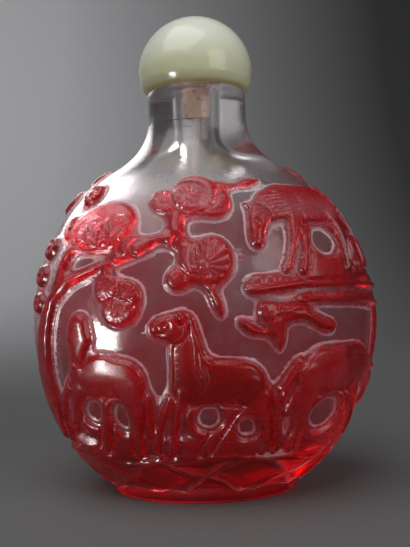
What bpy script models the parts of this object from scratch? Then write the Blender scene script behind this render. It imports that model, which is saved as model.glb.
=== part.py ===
# A cased glass snuff bottle: a clear, hollow, flattened-round bottle on an oval foot, with a ruby overlay
# fused to it and carved into horses grazing under pines. A pale green stone stopper closes it, and under
# the stopper sit a tan cork and a long ivory-white spoon that hangs inside the bottle.
# Metres, +Z up, the foot stands on z = 0, and the side in the photo faces -Y.
import math

import bmesh
import bpy
import numpy as np

MM = 0.001

# body of the bottle
BELLY_HALF_WIDTH = 26.6 * MM
BELLY_HALF_DEPTH = 17.2 * MM
BELLY_MIDDLE = 26.5 * MM
BELLY_RISE = 27.5 * MM
BELLY_DROP = 28.8 * MM
WALL = 3.2 * MM
FLOOR_ABOVE_RECESS = 3.4 * MM

# foot
FOOT_HEIGHT = 2.6 * MM
FOOT_OVERHANG = 0.25 * MM
FOOT_TAPER = 0.5 * MM
FOOT_RIM = 2.3 * MM
FOOT_RECESS = 1.6 * MM
FOOT_EDGE = 0.35 * MM

# neck and bore
NECK_RADIUS = 7.8 * MM
NECK_TOP = 62.5 * MM
NECK_FLARE = 5.8 * MM
LIP_EDGE = 0.5 * MM
BORE_RADIUS = 2.5 * MM
BORE_FLARE = 5.0 * MM

# ruby overlay
OVERLAY = 1.3 * MM
CUT_SLOPE = 0.62 * MM
GROUND_LINE = 8.6 * MM
CENTRE_HORSE = 13.2 * MM
LEFT_HORSE = 13.2 * MM
RIGHT_HORSE = 12.9 * MM
LEDGE_HORSE = 11.3 * MM
BACK_HORSE = 14.0 * MM

# stopper, cork and spoon
FIT_GAP = 0.3 * MM
CAP_RIM_RADIUS = 8.5 * MM
CAP_BULGE = 0.5 * MM
CAP_BULGE_HEIGHT = 2.9 * MM
CAP_HEIGHT = 11.6 * MM
CAP_CHAMFER = 0.5 * MM
CAP_SOCKET_DEPTH = 2.2 * MM
CORK_LENGTH = 6.8 * MM
CORK_TAPER = 0.15 * MM
CORK_SOCKET_DEPTH = 2.4 * MM
STEM_RADIUS = 0.62 * MM
STEM_LENGTH = 27.5 * MM
STEM_LEAN = 2.9 * MM
SPOON_HALF_WIDTH = 1.15 * MM
SPOON_LENGTH = 5.4 * MM

# fineness of the meshes
ROUND_STEPS = 40
CARVED_STEPS = 360
CARVED_ROW = 0.38 * MM
FRONT_TRIANGLES = 4100
BACK_TRIANGLES = 1400

LIP = NECK_TOP
CORK_TOP_RADIUS = BORE_RADIUS - FIT_GAP
CAP_BOTTOM = LIP + FIT_GAP
CORK_TOP = CAP_BOTTOM + CAP_SOCKET_DEPTH - FIT_GAP
CORK_BOTTOM = CORK_TOP - CORK_LENGTH
NECK_SEAM = BELLY_MIDDLE + BELLY_RISE + 0.35 * (LIP - BELLY_MIDDLE - BELLY_RISE)


# profiles of the bottle
def oval_into_round(z, belly_half, rise, drop, radius, blend):
    """Half-width or half-depth at heights z of an oval belly that melts into a round neck or bore above it."""
    level = z - BELLY_MIDDLE
    reach = np.where(level > 0, rise, drop)
    plain = belly_half * np.sqrt(np.clip(1 - (level / reach) ** 2, 0, 1))
    low = np.full(z.shape, 0.5 * radius)
    high = np.full(z.shape, belly_half + radius)
    for step in range(40):
        half = (low + high) / 2
        share = np.hypot(half / belly_half, level / rise)
        to_belly = share * (share - 1) / np.hypot(half / belly_half**2, level / rise**2)
        to_neck = half - radius
        melting = np.clip(blend - np.abs(to_belly - to_neck), 0, None) / blend
        gap = np.minimum(to_belly, to_neck) - melting**2 * blend / 4
        low = np.where(gap < 0, half, low)
        high = np.where(gap < 0, high, half)
    return np.where(level > 0, half, plain)


def outline_of(levels, wide_half, deep_half, rise, drop, radius, blend):
    """Rows of (half-width, half-depth, height) for turning into an oval wall."""
    levels = np.array(levels)
    wide = oval_into_round(levels, wide_half, rise, drop, radius, blend)
    deep = oval_into_round(levels, deep_half, rise, drop, radius, blend)
    return list(zip(wide, deep, levels))


# carving
def ramp(x):
    return np.clip(x, 0.0, 1.0)


def limb(s, t, joints):
    """Gap to a chain of tapered rounds, negative inside, and the place across it."""
    gap = np.full(s.shape, 9.0)
    across = np.zeros(s.shape)
    for (x0, y0, r0), (x1, y1, r1) in zip(joints, joints[1:]):
        dx, dy = x1 - x0, y1 - y0
        length = math.hypot(dx, dy)
        held = np.clip(((s - x0) * dx + (t - y0) * dy) / length**2, 0, 1)
        here = np.hypot(s - x0 - held * dx, t - y0 - held * dy) - (r0 + held * (r1 - r0))
        across = np.where(here < gap, ((s - x0) * dy - (t - y0) * dx) / length, across)
        gap = np.minimum(gap, here)
    return gap, across


def melt(a, b, k):
    """Smooth union of two gaps."""
    h = np.clip(0.5 + 0.5 * (b - a) / k, 0, 1)
    return b * (1 - h) + a * h - k * h * (1 - h)


def lay_over(under, gap, top, edge):
    """Lay a carved form over what is there, with a cut round it where it crosses another."""
    gap = gap - 0.2 * edge
    cut = ramp(1.5 - np.abs(gap) / (0.6 * edge))
    inside = ramp(-gap / edge)
    return under * (1 - 0.4 * cut) * (1 - inside) + top * inside


# Horses face -s and stand on t = 0. Each joint is across, up and thickness, as shares of the withers' height.
STANDING = dict(
    barrel=[(-0.20, 0.80, 0.22), (0.03, 0.80, 0.22), (0.27, 0.78, 0.22)],
    neck=[(-0.25, 0.84, 0.21), (-0.295, 1.06, 0.18), (-0.315, 1.22, 0.155), (-0.325, 1.41, 0.11)],
    head=[(-0.455, 1.335, 0.160), (-0.53, 1.34, 0.140), (-0.585, 1.335, 0.115)],
    ear=[(-0.35, 1.46, 0.045), (-0.36, 1.52, 0.02)],
    fore=[(-0.33, 0.70, 0.11), (-0.415, 0.48, 0.060), (-0.45, 0.18, 0.046), (-0.47, 0.05, 0.06)],
    far_fore=[(-0.39, 0.74, 0.09), (-0.545, 0.48, 0.052), (-0.63, 0.17, 0.040), (-0.655, 0.05, 0.05)],
    hind=[(0.32, 0.72, 0.19), (0.45, 0.50, 0.10), (0.49, 0.32, 0.062), (0.51, 0.13, 0.048), (0.50, 0.04, 0.06)],
    far_hind=[(0.14, 0.58, 0.12), (0.10, 0.44, 0.062), (-0.02, 0.24, 0.048), (-0.13, 0.04, 0.05)],
    tail=[(0.42, 0.84, 0.06), (0.53, 0.62, 0.085), (0.585, 0.36, 0.095), (0.60, 0.08, 0.095)],
    windows=[(-0.085, 0.41, 0.185, 0.165), (0.320, 0.295, 0.165, 0.155)],
)
GRAZING = dict(
    STANDING,
    barrel=[(-0.14, 0.86, 0.235), (0.10, 0.88, 0.245), (0.34, 0.88, 0.24)],
    neck=[(-0.16, 0.88, 0.21), (-0.40, 0.84, 0.185), (-0.62, 0.73, 0.145)],
    head=[(-0.67, 0.69, 0.125), (-0.77, 0.52, 0.10), (-0.82, 0.37, 0.085)],
    ear=[(-0.72, 0.80, 0.04), (-0.77, 0.86, 0.02)],
    fore=[(-0.20, 0.66, 0.11), (-0.37, 0.33, 0.055), (-0.49, 0.11, 0.046), (-0.55, 0.03, 0.055)],
    far_fore=[(-0.10, 0.64, 0.10), (-0.215, 0.30, 0.055), (-0.29, 0.09, 0.045), (-0.33, 0.02, 0.055)],
    hind=[(0.46, 0.80, 0.20), (0.49, 0.55, 0.11), (0.46, 0.33, 0.066), (0.44, 0.13, 0.05), (0.42, 0.04, 0.06)],
    far_hind=[(0.56, 0.62, 0.12), (0.66, 0.32, 0.06), (0.70, 0.06, 0.05)],
    tail=[(0.62, 0.98, 0.06), (0.76, 0.72, 0.08), (0.81, 0.40, 0.09), (0.84, 0.10, 0.07)],
    windows=[(0.13, 0.37, 0.27, 0.25), (0.58, 0.27, 0.09, 0.17)],
)
TURNED = dict(
    STANDING,
    barrel=[(-0.24, 0.80, 0.17), (0.0, 0.86, 0.215), (0.18, 0.83, 0.21)],
    neck=[(-0.12, 0.88, 0.19), (-0.33, 0.84, 0.14), (-0.36, 1.05, 0.10)],
    head=[(-0.32, 1.40, 0.12), (-0.325, 1.25, 0.155), (-0.335, 1.07, 0.085)],
    ear=[(-0.24, 1.46, 0.045), (-0.20, 1.53, 0.02)],
    fore=[(-0.38, 0.72, 0.11), (-0.50, 0.50, 0.070), (-0.60, 0.25, 0.050), (-0.68, 0.08, 0.058)],
    far_fore=[(-0.46, 0.80, 0.08), (-0.66, 0.56, 0.05), (-0.76, 0.30, 0.045), (-0.82, 0.10, 0.05)],
    hind=[(0.20, 0.76, 0.19), (0.23, 0.52, 0.09), (0.20, 0.32, 0.060), (0.16, 0.12, 0.05), (0.14, 0.04, 0.06)],
    far_hind=[(0.0, 0.66, 0.10), (-0.10, 0.46, 0.055), (-0.19, 0.25, 0.045), (-0.25, 0.06, 0.05)],
    tail=[(0.32, 0.90, 0.05), (0.365, 0.64, 0.075), (0.33, 0.34, 0.085), (0.28, 0.06, 0.075)],
    windows=[(-0.285, 0.47, 0.165, 0.180), (0.045, 0.42, 0.135, 0.190)],
)


def horse(high, s, t, size, pose, faces=-1):
    """Carve one horse. s and t are metres across and up from the ground between its hooves."""
    s = -faces * s / size
    t = t / size
    edge = CUT_SLOPE / size
    near = (np.abs(s) < 1.2) & (t > -0.3) & (t < 1.8)
    s, t, h = s[near], t[near], high[near].copy()
    # rock left standing between the legs, with two round windows cut through it
    left = pose["far_fore"][-1][0] + 0.10
    right = pose["tail"][-1][0] - 0.05
    rock = melt(limb(s, t, [(left, 0.06, 0.16), (right, 0.06, 0.17)])[0],
                limb(s, t, [(x, 0.44, 0.10 + wide) for x, y, wide, tall in pose["windows"]])[0], 0.08)
    h = lay_over(h, rock, 0.66, edge)
    for name, top in (("tail", 0.78), ("far_hind", 0.74), ("far_fore", 0.74)):
        h = lay_over(h, limb(s, t, pose[name])[0], top, edge)
    for x, y, wide, tall in pose["windows"]:
        r = np.hypot((s - x) / wide, (t - y) / tall)
        h = h * ramp((r - 0.72) * wide / edge)
    body = melt(limb(s, t, pose["barrel"])[0], limb(s, t, pose["neck"])[0], 0.12)
    h = lay_over(h, body, 0.72 + 0.28 * ramp(-body / 0.18), edge)
    for name in ("hind", "fore"):
        h = np.maximum(h, 0.92 * ramp(-limb(s, t, pose[name])[0] / edge))
    head = melt(limb(s, t, pose["head"])[0], limb(s, t, pose["ear"])[0], 0.04)
    high[near] = lay_over(h, head, 0.96, edge)


def round_gap(s, t, across, up, reach, squash):
    """Gap to a squashed round, and the place from its centre as a share of its reach."""
    r = np.hypot((s - across) / reach, (t - up) / (reach * squash))
    return (r - 1) * reach * min(1.0, squash), r


def pine(high, s, t, fans, boughs):
    """Carve fans of needles, shallow dishes or plain domes, and boughs, all melted into one outline."""
    whole = np.full(s.shape, 9.0)
    boughs = [[(x * MM, z * MM, r * MM) for x, z, r in joints] for joints in boughs]
    for across, up, reach, squash, *plain in fans:
        round_base = round_gap(s, t, (across + 0.3) * MM, (up - 0.25) * MM, (reach + 0.1) * MM, squash)[0]
        whole = melt(whole, round_base, 1.7 * MM)
    for joints in boughs:
        whole = melt(whole, limb(s, t, joints)[0], 1.7 * MM)
    high[:] = lay_over(high, whole, 0.66, CUT_SLOPE)
    for joints in boughs:
        gap = limb(s, t, joints)[0]
        high[:] = np.maximum(high, (0.70 + 0.2 * ramp(-gap / (1.0 * MM))) * ramp(-gap / CUT_SLOPE))
    for across, up, reach, squash, *plain in fans:
        gap, r = round_gap(s, t, across * MM, up * MM, reach * MM, squash)
        top = 0.84 - 0.10 * r * r if plain else 0.62 + 0.30 * ramp((r - 0.55) / 0.3)
        high[:] = lay_over(high, gap, top, CUT_SLOPE)


def ledge(high, s, t, joints):
    """Carve a rock ledge: an upright face and a heavier lower lip."""
    gap, across = limb(s, t, [(x * MM, z * MM, r * MM) for x, z, r in joints])
    high[:] = lay_over(high, gap, 0.62 + 0.30 * ramp((across - 0.1 * MM) / (0.5 * MM)), CUT_SLOPE)


def ground_band(high, turn, z):
    """Carve the band of crossing rock ridges below the ground line, all round the bottle."""
    line = GROUND_LINE + 0.5 * MM * np.sin(5 * turn + 0.6) + 0.25 * MM * np.sin(13 * turn)
    inside = ramp((line - z) / CUT_SLOPE)
    deep = np.clip((line - z) / (GROUND_LINE - FOOT_HEIGHT), 0, 1.2)
    ridges = np.zeros(z.shape)
    for way in (-1, 1):
        wave = np.abs(((9 * turn / (2 * math.pi) + way * deep * 0.9) % 1) - 0.5) * 2
        ridges = np.maximum(ridges, ramp(1 - wave / 0.34))
    top = 0.58 + 0.36 * ridges
    lip = ramp(1 - np.abs(line - z - 0.9 * MM) / (0.8 * MM))
    top = np.maximum(top, 0.58 + 0.32 * lip)
    high[:] = np.maximum(high, top * inside)


def carving(x, y, z):
    """Height of the ruby overlay, as a share of its full thickness, at points of the bottle's ground surface."""
    turn = np.arctan2(x / BELLY_HALF_WIDTH, -y / BELLY_HALF_DEPTH)
    reach = np.where(z > BELLY_MIDDLE, BELLY_RISE, BELLY_DROP)
    share = np.sqrt(np.clip(1 - ((z - BELLY_MIDDLE) / reach) ** 2, 0, 1))
    table = np.radians(np.arange(-540.0, 541.0))
    pace = np.hypot(BELLY_HALF_WIDTH * np.cos(table), BELLY_HALF_DEPTH * np.sin(table))
    girth = np.concatenate([[0.0], np.cumsum((pace[1:] + pace[:-1]) / 2 * math.radians(1))])

    def along_from(degrees, height=0.0):
        """Distance round the belly from a bearing, and height above a level, at the drawing's own size."""
        start = math.radians(degrees)
        swing = (turn - start + math.pi) % (2 * math.pi) - math.pi
        around = np.interp(start + swing, table, girth) - np.interp(start, table, girth)
        return around * share / broad, z / tall - height

    # the drawing stretches with the belly
    broad = BELLY_HALF_WIDTH / (26.6 * MM)
    tall = (BELLY_MIDDLE + BELLY_RISE) / (54.0 * MM)
    high = np.zeros(z.shape)

    # front left: the trunk, its bough and the upper fans
    s, t = along_from(-48)
    pine(high, s, t,
         [(-0.9, 46.0, 1.5, 0.75), (-2.0, 40.9, 1.6, 1.1), (3.6, 41.0, 4.8, 0.66, "plain"), (2.6, 39.6, 2.4, 0.76),
          (6.2, 39.7, 2.3, 0.82), (10.5, 37.8, 2.4, 0.58)],
         [[(-5.4, 11, 2.2), (-5.0, 20, 1.9), (-4.0, 26, 1.7), (-2.4, 30.4, 1.3), (0.4, 33.0, 1.0), (4.0, 34.3, 0.8),
           (7.6, 35.7, 0.8), (9.8, 37.0, 0.8)],
          [(-1.2, 32.6, 1.2), (-0.9, 36.0, 1.1), (0.4, 38.2, 1.0)]])
    # left edge: fans beyond the trunk
    s, t = along_from(-66)
    pine(high, s, t, [(0.0, 38.2, 1.7, 0.9), (-0.4, 34.2, 1.8, 0.85), (0.0, 30.2, 1.6, 0.9)], [])
    # front left: the three lower fans
    s, t = along_from(-28)
    pine(high, s, t, [(2.1, 31.1, 1.9, 0.90), (0.9, 28.7, 2.2, 0.66), (-0.9, 32.0, 1.7, 1.0)],
         [[(1.6, 31.0, 1.9), (1.5, 29.4, 1.9)], [(-1.0, 34.8, 0.8), (-1.0, 33.2, 0.8)]])
    # front middle: the upper cluster on its stem, the lower cluster with its hanging leaf, and the twig
    s, t = along_from(0)
    pine(high, s, t, [(-4.9, 44.0, 2.1, 0.78), (2.0, 43.6, 2.1, 0.93), (-0.6, 44.9, 3.1, 0.86, "plain"),
                      (-1.3, 44.3, 2.1, 0.78)],
         [[(-3.0, 42.4, 1.2), (-3.2, 40.4, 1.25), (-3.1, 38.4, 1.2), (-2.0, 37.4, 1.0)],
          [(-8.6, 37.4, 0.8), (-6.4, 38.4, 0.7), (-4.4, 38.7, 0.8), (-3.0, 38.2, 0.9)],
          [(2.8, 45.8, 0.5), (5.4, 46.0, 0.40), (6.8, 46.4, 0.75), (8.6, 46.9, 0.35)]])
    pine(high, s, t, [(-0.8, 36.0, 2.0, 1.05, "plain"), (-3.4, 33.1, 1.35, 0.95), (1.5, 35.7, 2.6, 1.2)],
         [[(-2.6, 37.8, 0.8), (-1.4, 36.8, 0.9)],
          [(-2.4, 33.8, 1.0), (-0.4, 34.2, 1.3)],
          [(0.9, 33.0, 0.6), (1.4, 31.4, 0.5), (2.2, 29.6, 0.75), (3.0, 27.2, 0.2)]])
    # front right: the sprig below the ledge
    s, t = along_from(24, 29 * MM)
    pine(high, s, t, [(-1.9, -0.4, 1.3, 0.9)],
         [[(-6.3, -1.3, 0.2), (-5.2, -2.2, 0.7), (-4.0, -3.0, 0.75), (-2.4, -3.5, 0.4), (-0.6, -3.2, 0.6)],
          [(-1.6, -0.8, 1.0), (-0.9, -2.0, 1.0), (-0.4, -3.4, 0.6), (-0.3, -4.8, 0.75), (-0.1, -6.4, 0.2)],
          [(-1.2, -1.0, 0.9), (1.2, -0.6, 0.9), (3.4, 0.3, 1.0)],
          [(1.2, -0.9, 0.9), (3.6, -1.2, 0.7), (5.0, -1.9, 0.8), (6.4, -2.7, 0.9), (8.0, -3.1, 0.9)]])
    # right: the ledges and the horse grazing on the upper one
    s, t = along_from(43)
    ledge(high, s, t, [(-4.8, 30.2, 0.7), (0.5, 30.1, 0.95), (6.5, 29.9, 1.1), (15.0, 28.8, 1.2)])
    ledge(high, s, t, [(-11.4, 31.95, 1.4), (-5.0, 32.5, 1.15), (3.0, 32.5, 1.2), (12.0, 31.9, 1.4),
                       (15.5, 31.2, 1.2)])
    s, t = along_from(43, 33.6 * MM)
    horse(high, s, t, LEDGE_HORSE, GRAZING)
    # the horses on the ground: right, left and centre
    s, t = along_from(51, GROUND_LINE)
    horse(high, s, t, RIGHT_HORSE, GRAZING, faces=1)
    s, t = along_from(-30, GROUND_LINE)
    horse(high, s, t, LEFT_HORSE, TURNED)
    s, t = along_from(4.2, GROUND_LINE)
    horse(high, s, t, CENTRE_HORSE, STANDING)

    # right side: rocks and a young pine
    s, t = along_from(90)
    pine(high, s, t, [(4.6, 29.5, 2.7, 0.85), (-0.4, 36.4, 2.8, 0.85), (3.6, 38.4, 2.9, 0.85), (4.4, 33.8, 2.4, 0.85)],
         [[(3, 7, 2.6), (1, 17, 2.0), (-0.5, 26, 1.6), (2, 35, 1.1)]])
    # left, towards the back: the same, turned about
    s, t = along_from(-122)
    pine(high, s, t, [(-4.0, 30.5, 2.6, 0.85), (-3.0, 37.6, 2.8, 0.85), (1.4, 43.0, 2.4, 0.85)],
         [[(-2, 7, 2.4), (-1.4, 17, 1.9), (0.4, 26, 1.6), (-1.6, 36, 1.1), (1, 42, 0.9)]])
    # back, plainer: two horses under a spreading pine
    s, t = along_from(180)
    pine(high, s, t,
         [(9.0, 36.5, 3.2, 0.85), (15.5, 35.4, 3.3, 0.85), (12.4, 40.0, 3.2, 0.85), (-9.0, 40.0, 3.2, 0.85),
          (-15.0, 38.4, 3.4, 0.85), (-12.0, 43.4, 3.0, 0.85), (9.4, 45.2, 2.9, 0.85), (-3.6, 43.6, 3.4, 0.85),
          (3.2, 43.0, 3.2, 0.85), (0.2, 46.8, 3.2, 0.85)],
         [[(1, 8, 2.3), (-1, 20, 1.7), (2, 31, 1.4), (-1, 40, 1.2)],
          [(1.5, 30, 1.2), (8, 34, 1.0), (15, 34, 0.9)],
          [(0, 34, 1.2), (-8, 38, 1.0), (-15, 37, 0.9)]])
    s, t = along_from(150, GROUND_LINE)
    horse(high, s, t, BACK_HORSE, GRAZING, faces=1)
    s, t = along_from(-148, GROUND_LINE)
    horse(high, s, t, BACK_HORSE, STANDING, faces=-1)

    ground_band(high, turn, z)
    fade = ramp((BELLY_MIDDLE + 0.9 * BELLY_RISE - z) / (1.5 * MM))
    return np.clip(high * fade, 0.0, 1.0)


# building tools
def collection(name):
    made = bpy.data.collections.new(name)
    bpy.context.scene.collection.children.link(made)
    return made


def material(name, colour, roughness, metallic=0.0, transmission=0.0):
    made = bpy.data.materials.new(name)
    made.use_nodes = True
    shader = made.node_tree.nodes["Principled BSDF"]
    shader.inputs["Base Color"].default_value = (*colour, 1.0)
    shader.inputs["Roughness"].default_value = roughness
    shader.inputs["Metallic"].default_value = metallic
    shader.inputs["Transmission Weight"].default_value = transmission
    made.diffuse_color = (*colour, 1.0)
    return made


def add_object(name, mesh, where):
    made = bpy.data.objects.new(name, mesh)
    where.objects.link(made)
    return made


def turned(name, outline, steps, where):
    """Turn an outline of (half-width, half-depth, height) round the upright axis into an oval mesh."""
    mesh = bpy.data.meshes.new(name)
    links = [(i, i + 1) for i in range(len(outline) - 1)]
    mesh.from_pydata([(wide, 0.0, z) for wide, deep, z in outline], links, [])
    flat = mesh.attributes.new("flat", "FLOAT", "POINT")
    flat.data.foreach_set("value", [deep / wide if wide > 0 else 1.0 for wide, deep, z in outline])
    turning = add_object(name, mesh, where)
    screw = turning.modifiers.new("turned", "SCREW")
    screw.axis = "Z"
    screw.steps = screw.render_steps = steps
    screw.use_merge_vertices = True
    screw.merge_threshold = 0.00001
    view = bpy.context.evaluated_depsgraph_get()
    made = bpy.data.meshes.new_from_object(turning.evaluated_get(view))
    bpy.data.objects.remove(turning)
    places = np.empty(len(made.vertices) * 3)
    made.vertices.foreach_get("co", places)
    places = places.reshape(-1, 3)
    ratio = np.empty(len(made.vertices))
    made.attributes["flat"].data.foreach_get("value", ratio)
    places[:, 1] *= ratio
    made.vertices.foreach_set("co", places.ravel())
    made.attributes.remove(made.attributes["flat"])
    made.update()
    return made


def arc(centre, radius, start, stop, steps):
    """Points of a round corner in (across, up), angles in degrees."""
    turns = [math.radians(start + (stop - start) * i / steps) for i in range(steps + 1)]
    return [(centre[0] + radius * math.cos(a), centre[1] + radius * math.sin(a)) for a in turns]


def add_to(work, mesh):
    work.from_mesh(mesh)
    bpy.data.meshes.remove(mesh)


def shade(mesh, degrees=40):
    mesh.shade_smooth()
    mesh.set_sharp_from_angle(angle=math.radians(degrees))


for thing in list(bpy.data.objects):
    bpy.data.objects.remove(thing)

parts = collection("snuff_bottle")
cutters = collection("cutters")

clear_glass = material("clear_glass", (0.80, 0.76, 0.76), 0.16, 0.0, 0.6)
ruby_glass = material("ruby_glass", (0.36, 0.008, 0.010), 0.14)
pale_stone = material("pale_green_stone", (0.62, 0.70, 0.52), 0.18)
tan_cork = material("tan_cork", (0.56, 0.34, 0.20), 0.8)
ivory_white = material("ivory_white", (0.82, 0.79, 0.72), 0.4)

# the hollow, the bore, the lip and the neck
floor = FOOT_RECESS + FLOOR_ABOVE_RECESS
hollow_rise = BELLY_RISE - WALL
hollow_drop = BELLY_MIDDLE - floor
levels = [BELLY_MIDDLE - hollow_drop * math.cos(math.radians(90 * i / 6)) for i in range(1, 6)]
levels += [BELLY_MIDDLE + hollow_rise * math.sin(math.radians(90 * i / 7)) for i in range(8)]
levels += [BELLY_MIDDLE + hollow_rise + 0.5 * BORE_FLARE, BELLY_MIDDLE + hollow_rise + 1.1 * BORE_FLARE]
inside = [(0.0, 0.0, floor)]
inside += outline_of(levels, BELLY_HALF_WIDTH - WALL, BELLY_HALF_DEPTH - WALL, hollow_rise, hollow_drop,
                     BORE_RADIUS, BORE_FLARE)
inside += [(r, r, z) for r, z in arc((BORE_RADIUS + LIP_EDGE, LIP - LIP_EDGE), LIP_EDGE, 180, 90, 2)]
inside += [(r, r, z) for r, z in arc((NECK_RADIUS - LIP_EDGE, LIP - LIP_EDGE), LIP_EDGE, 90, 0, 2)]
belly_sizes = (BELLY_HALF_WIDTH, BELLY_HALF_DEPTH, BELLY_RISE, BELLY_DROP, NECK_RADIUS, NECK_FLARE)
inside += outline_of([NECK_SEAM], *belly_sizes)

# the foot
belly_at_foot = math.sqrt(1 - ((FOOT_HEIGHT - BELLY_MIDDLE) / BELLY_DROP) ** 2)
foot_wide = BELLY_HALF_WIDTH * belly_at_foot + FOOT_OVERHANG
foot_deep = BELLY_HALF_DEPTH * belly_at_foot + FOOT_OVERHANG
foot = []
for r, z in (arc((-FOOT_EDGE, FOOT_HEIGHT - FOOT_EDGE), FOOT_EDGE, 90, 0, 2)
             + arc((-FOOT_EDGE - FOOT_TAPER, FOOT_EDGE), FOOT_EDGE, 0, -90, 2)
             + arc((-FOOT_RIM + FOOT_EDGE, FOOT_EDGE), FOOT_EDGE, 270, 180, 1)
             + [(-FOOT_RIM - 0.3 * FOOT_TAPER, 0.6 * FOOT_RECESS), (-FOOT_RIM - FOOT_TAPER, FOOT_RECESS)]):
    foot.append((foot_wide + r, foot_deep + r, z))
foot.append((0.5 * foot_wide, 0.5 * foot_deep, FOOT_RECESS))
foot.append((0.0, 0.0, FOOT_RECESS))

# the carved belly, from the neck's seam down to the foot
fine = np.linspace(NECK_SEAM, FOOT_HEIGHT, 4000)
wide = np.array(outline_of(fine, *belly_sizes))[:, 0]
paces = np.concatenate([[0.0], np.cumsum(np.hypot(np.diff(wide), np.diff(fine)))])
levels = np.interp(np.linspace(0, paces[-1], int(paces[-1] / CARVED_ROW) + 1), paces, fine)
carved = turned("carved_belly", outline_of(levels, *belly_sizes), CARVED_STEPS, cutters)
count = len(carved.vertices)
ground = np.empty(count * 3)
carved.vertices.foreach_get("co", ground)
ground = ground.reshape(-1, 3)
normals = np.empty(count * 3)
carved.vertices.foreach_get("normal", normals)
normals = normals.reshape(-1, 3)
normals *= np.where((normals * ground * (1, 1, 0)).sum(axis=1) < 0, -1, 1)[:, None]
heights = carving(*ground.T)
edge_rows = (ground[:, 2] > levels[1]) | (ground[:, 2] < levels[-2])
heights[edge_rows] = 0.0
raised = ground + normals * (heights * OVERLAY)[:, None]
carved.vertices.foreach_set("co", raised.ravel())
carved.update()
block = add_object("carved_belly", carved, cutters)
# the plainer back is thinned first, then the front, so that the front keeps the finer carving
bearing = np.degrees(np.abs(np.arctan2(ground[:, 0] / BELLY_HALF_WIDTH, -ground[:, 1] / BELLY_HALF_DEPTH)))
total = 2 * len(carved.polygons)
left = total * np.mean(bearing <= 92) + BACK_TRIANGLES
for name, chosen, before, after in (("back", bearing > 92, total, left),
                                    ("front", bearing < 98, left, FRONT_TRIANGLES + BACK_TRIANGLES)):
    block.vertex_groups.new(name=name).add(np.flatnonzero(chosen).tolist(), 1.0, "REPLACE")
    fewer = block.modifiers.new(name, "DECIMATE")
    fewer.ratio = after / before
    fewer.vertex_group = name
    fewer.use_collapse_triangulate = True
lighter = bpy.data.meshes.new_from_object(block.evaluated_get(bpy.context.evaluated_depsgraph_get()))
bpy.data.objects.remove(block)

work = bmesh.new()
add_to(work, lighter)
add_to(work, turned("inside", inside, ROUND_STEPS, cutters))
add_to(work, turned("foot", foot, ROUND_STEPS, cutters))
open_edges = [edge for edge in work.edges if edge.is_boundary]
for at_neck in (True, False):
    bmesh.ops.bridge_loops(work, edges=[e for e in open_edges if (e.verts[0].co.z > BELLY_MIDDLE) == at_neck])
bmesh.ops.triangulate(work, faces=work.faces)
bmesh.ops.recalc_face_normals(work, faces=work.faces)
glass = bpy.data.meshes.new("bottle")
work.to_mesh(glass)
work.free()
bottle = add_object("bottle", glass, parts)
glass.materials.append(clear_glass)
glass.materials.append(ruby_glass)
centres = np.empty(len(glass.polygons) * 3)
glass.polygons.foreach_get("center", centres)
centres = centres.reshape(-1, 3)
outward = np.empty(len(glass.polygons) * 3)
glass.polygons.foreach_get("normal", outward)
outward = outward.reshape(-1, 3)
outer = (outward * centres * (1, 1, 0)).sum(axis=1) > -0.2 * np.hypot(centres[:, 0], centres[:, 1])
reds = carving(*centres.T) > 0.3
reds |= centres[:, 2] < FOOT_HEIGHT + 0.4 * MM
reds &= outer & (centres[:, 2] < NECK_SEAM)
mid_wall = np.hypot(centres[:, 0] / (BELLY_HALF_WIDTH - 0.6 * WALL),
                    centres[:, 1] / (BELLY_HALF_DEPTH - 0.6 * WALL))
round_share = np.sqrt(np.clip(1 - ((centres[:, 2] - BELLY_MIDDLE) / (BELLY_RISE - 0.5 * WALL)) ** 2, 0, 1))
reds &= (centres[:, 2] < floor - 0.1 * MM) | (mid_wall > round_share)
glass.polygons.foreach_set("material_index", reds.astype(np.int32))
shade(glass, 38)

# the stone stopper
cap_top = CAP_BOTTOM + CAP_HEIGHT
bulge = CAP_RIM_RADIUS + CAP_BULGE
bulge_at = CAP_BOTTOM + CAP_BULGE_HEIGHT
dome = [(0.0, cap_top)]
for i in range(1, 9):
    a = math.radians(90 - 90 * i / 8)
    dome.append((bulge * math.cos(a), bulge_at + (cap_top - bulge_at) * math.sin(a)))
skirt = [(bulge - 0.35 * CAP_BULGE, CAP_BOTTOM + 0.5 * CAP_BULGE_HEIGHT),
         (CAP_RIM_RADIUS, CAP_BOTTOM + CAP_CHAMFER)]
under = [(CAP_RIM_RADIUS - CAP_CHAMFER, CAP_BOTTOM), (CORK_TOP_RADIUS + FIT_GAP, CAP_BOTTOM),
         (CORK_TOP_RADIUS + FIT_GAP, CAP_BOTTOM + CAP_SOCKET_DEPTH), (0.0, CAP_BOTTOM + CAP_SOCKET_DEPTH)]
cap_mesh = turned("stopper_cap", [(r, r, z) for r, z in dome + skirt + under], ROUND_STEPS, cutters)
cap = add_object("stopper_cap", cap_mesh, parts)
cap_mesh.materials.append(pale_stone)
shade(cap_mesh, 35)

# the cork, with a socket for the spoon's stem
cork_foot = CORK_TOP_RADIUS - CORK_TAPER
hole = STEM_RADIUS + FIT_GAP
cork_outline = [(0.0, CORK_TOP), (CORK_TOP_RADIUS - 0.2 * MM, CORK_TOP), (CORK_TOP_RADIUS, CORK_TOP - 0.2 * MM),
                (CORK_TOP_RADIUS, LIP - 1.0 * MM), (cork_foot, CORK_BOTTOM + 0.25 * MM),
                (cork_foot - 0.25 * MM, CORK_BOTTOM), (hole, CORK_BOTTOM), (hole, CORK_BOTTOM + CORK_SOCKET_DEPTH),
                (0.0, CORK_BOTTOM + CORK_SOCKET_DEPTH)]
cork_mesh = turned("stopper_cork", [(r, r, z) for r, z in cork_outline], ROUND_STEPS // 2, cutters)
cork = add_object("stopper_cork", cork_mesh, parts)
cork_mesh.materials.append(tan_cork)
shade(cork_mesh, 35)

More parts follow.
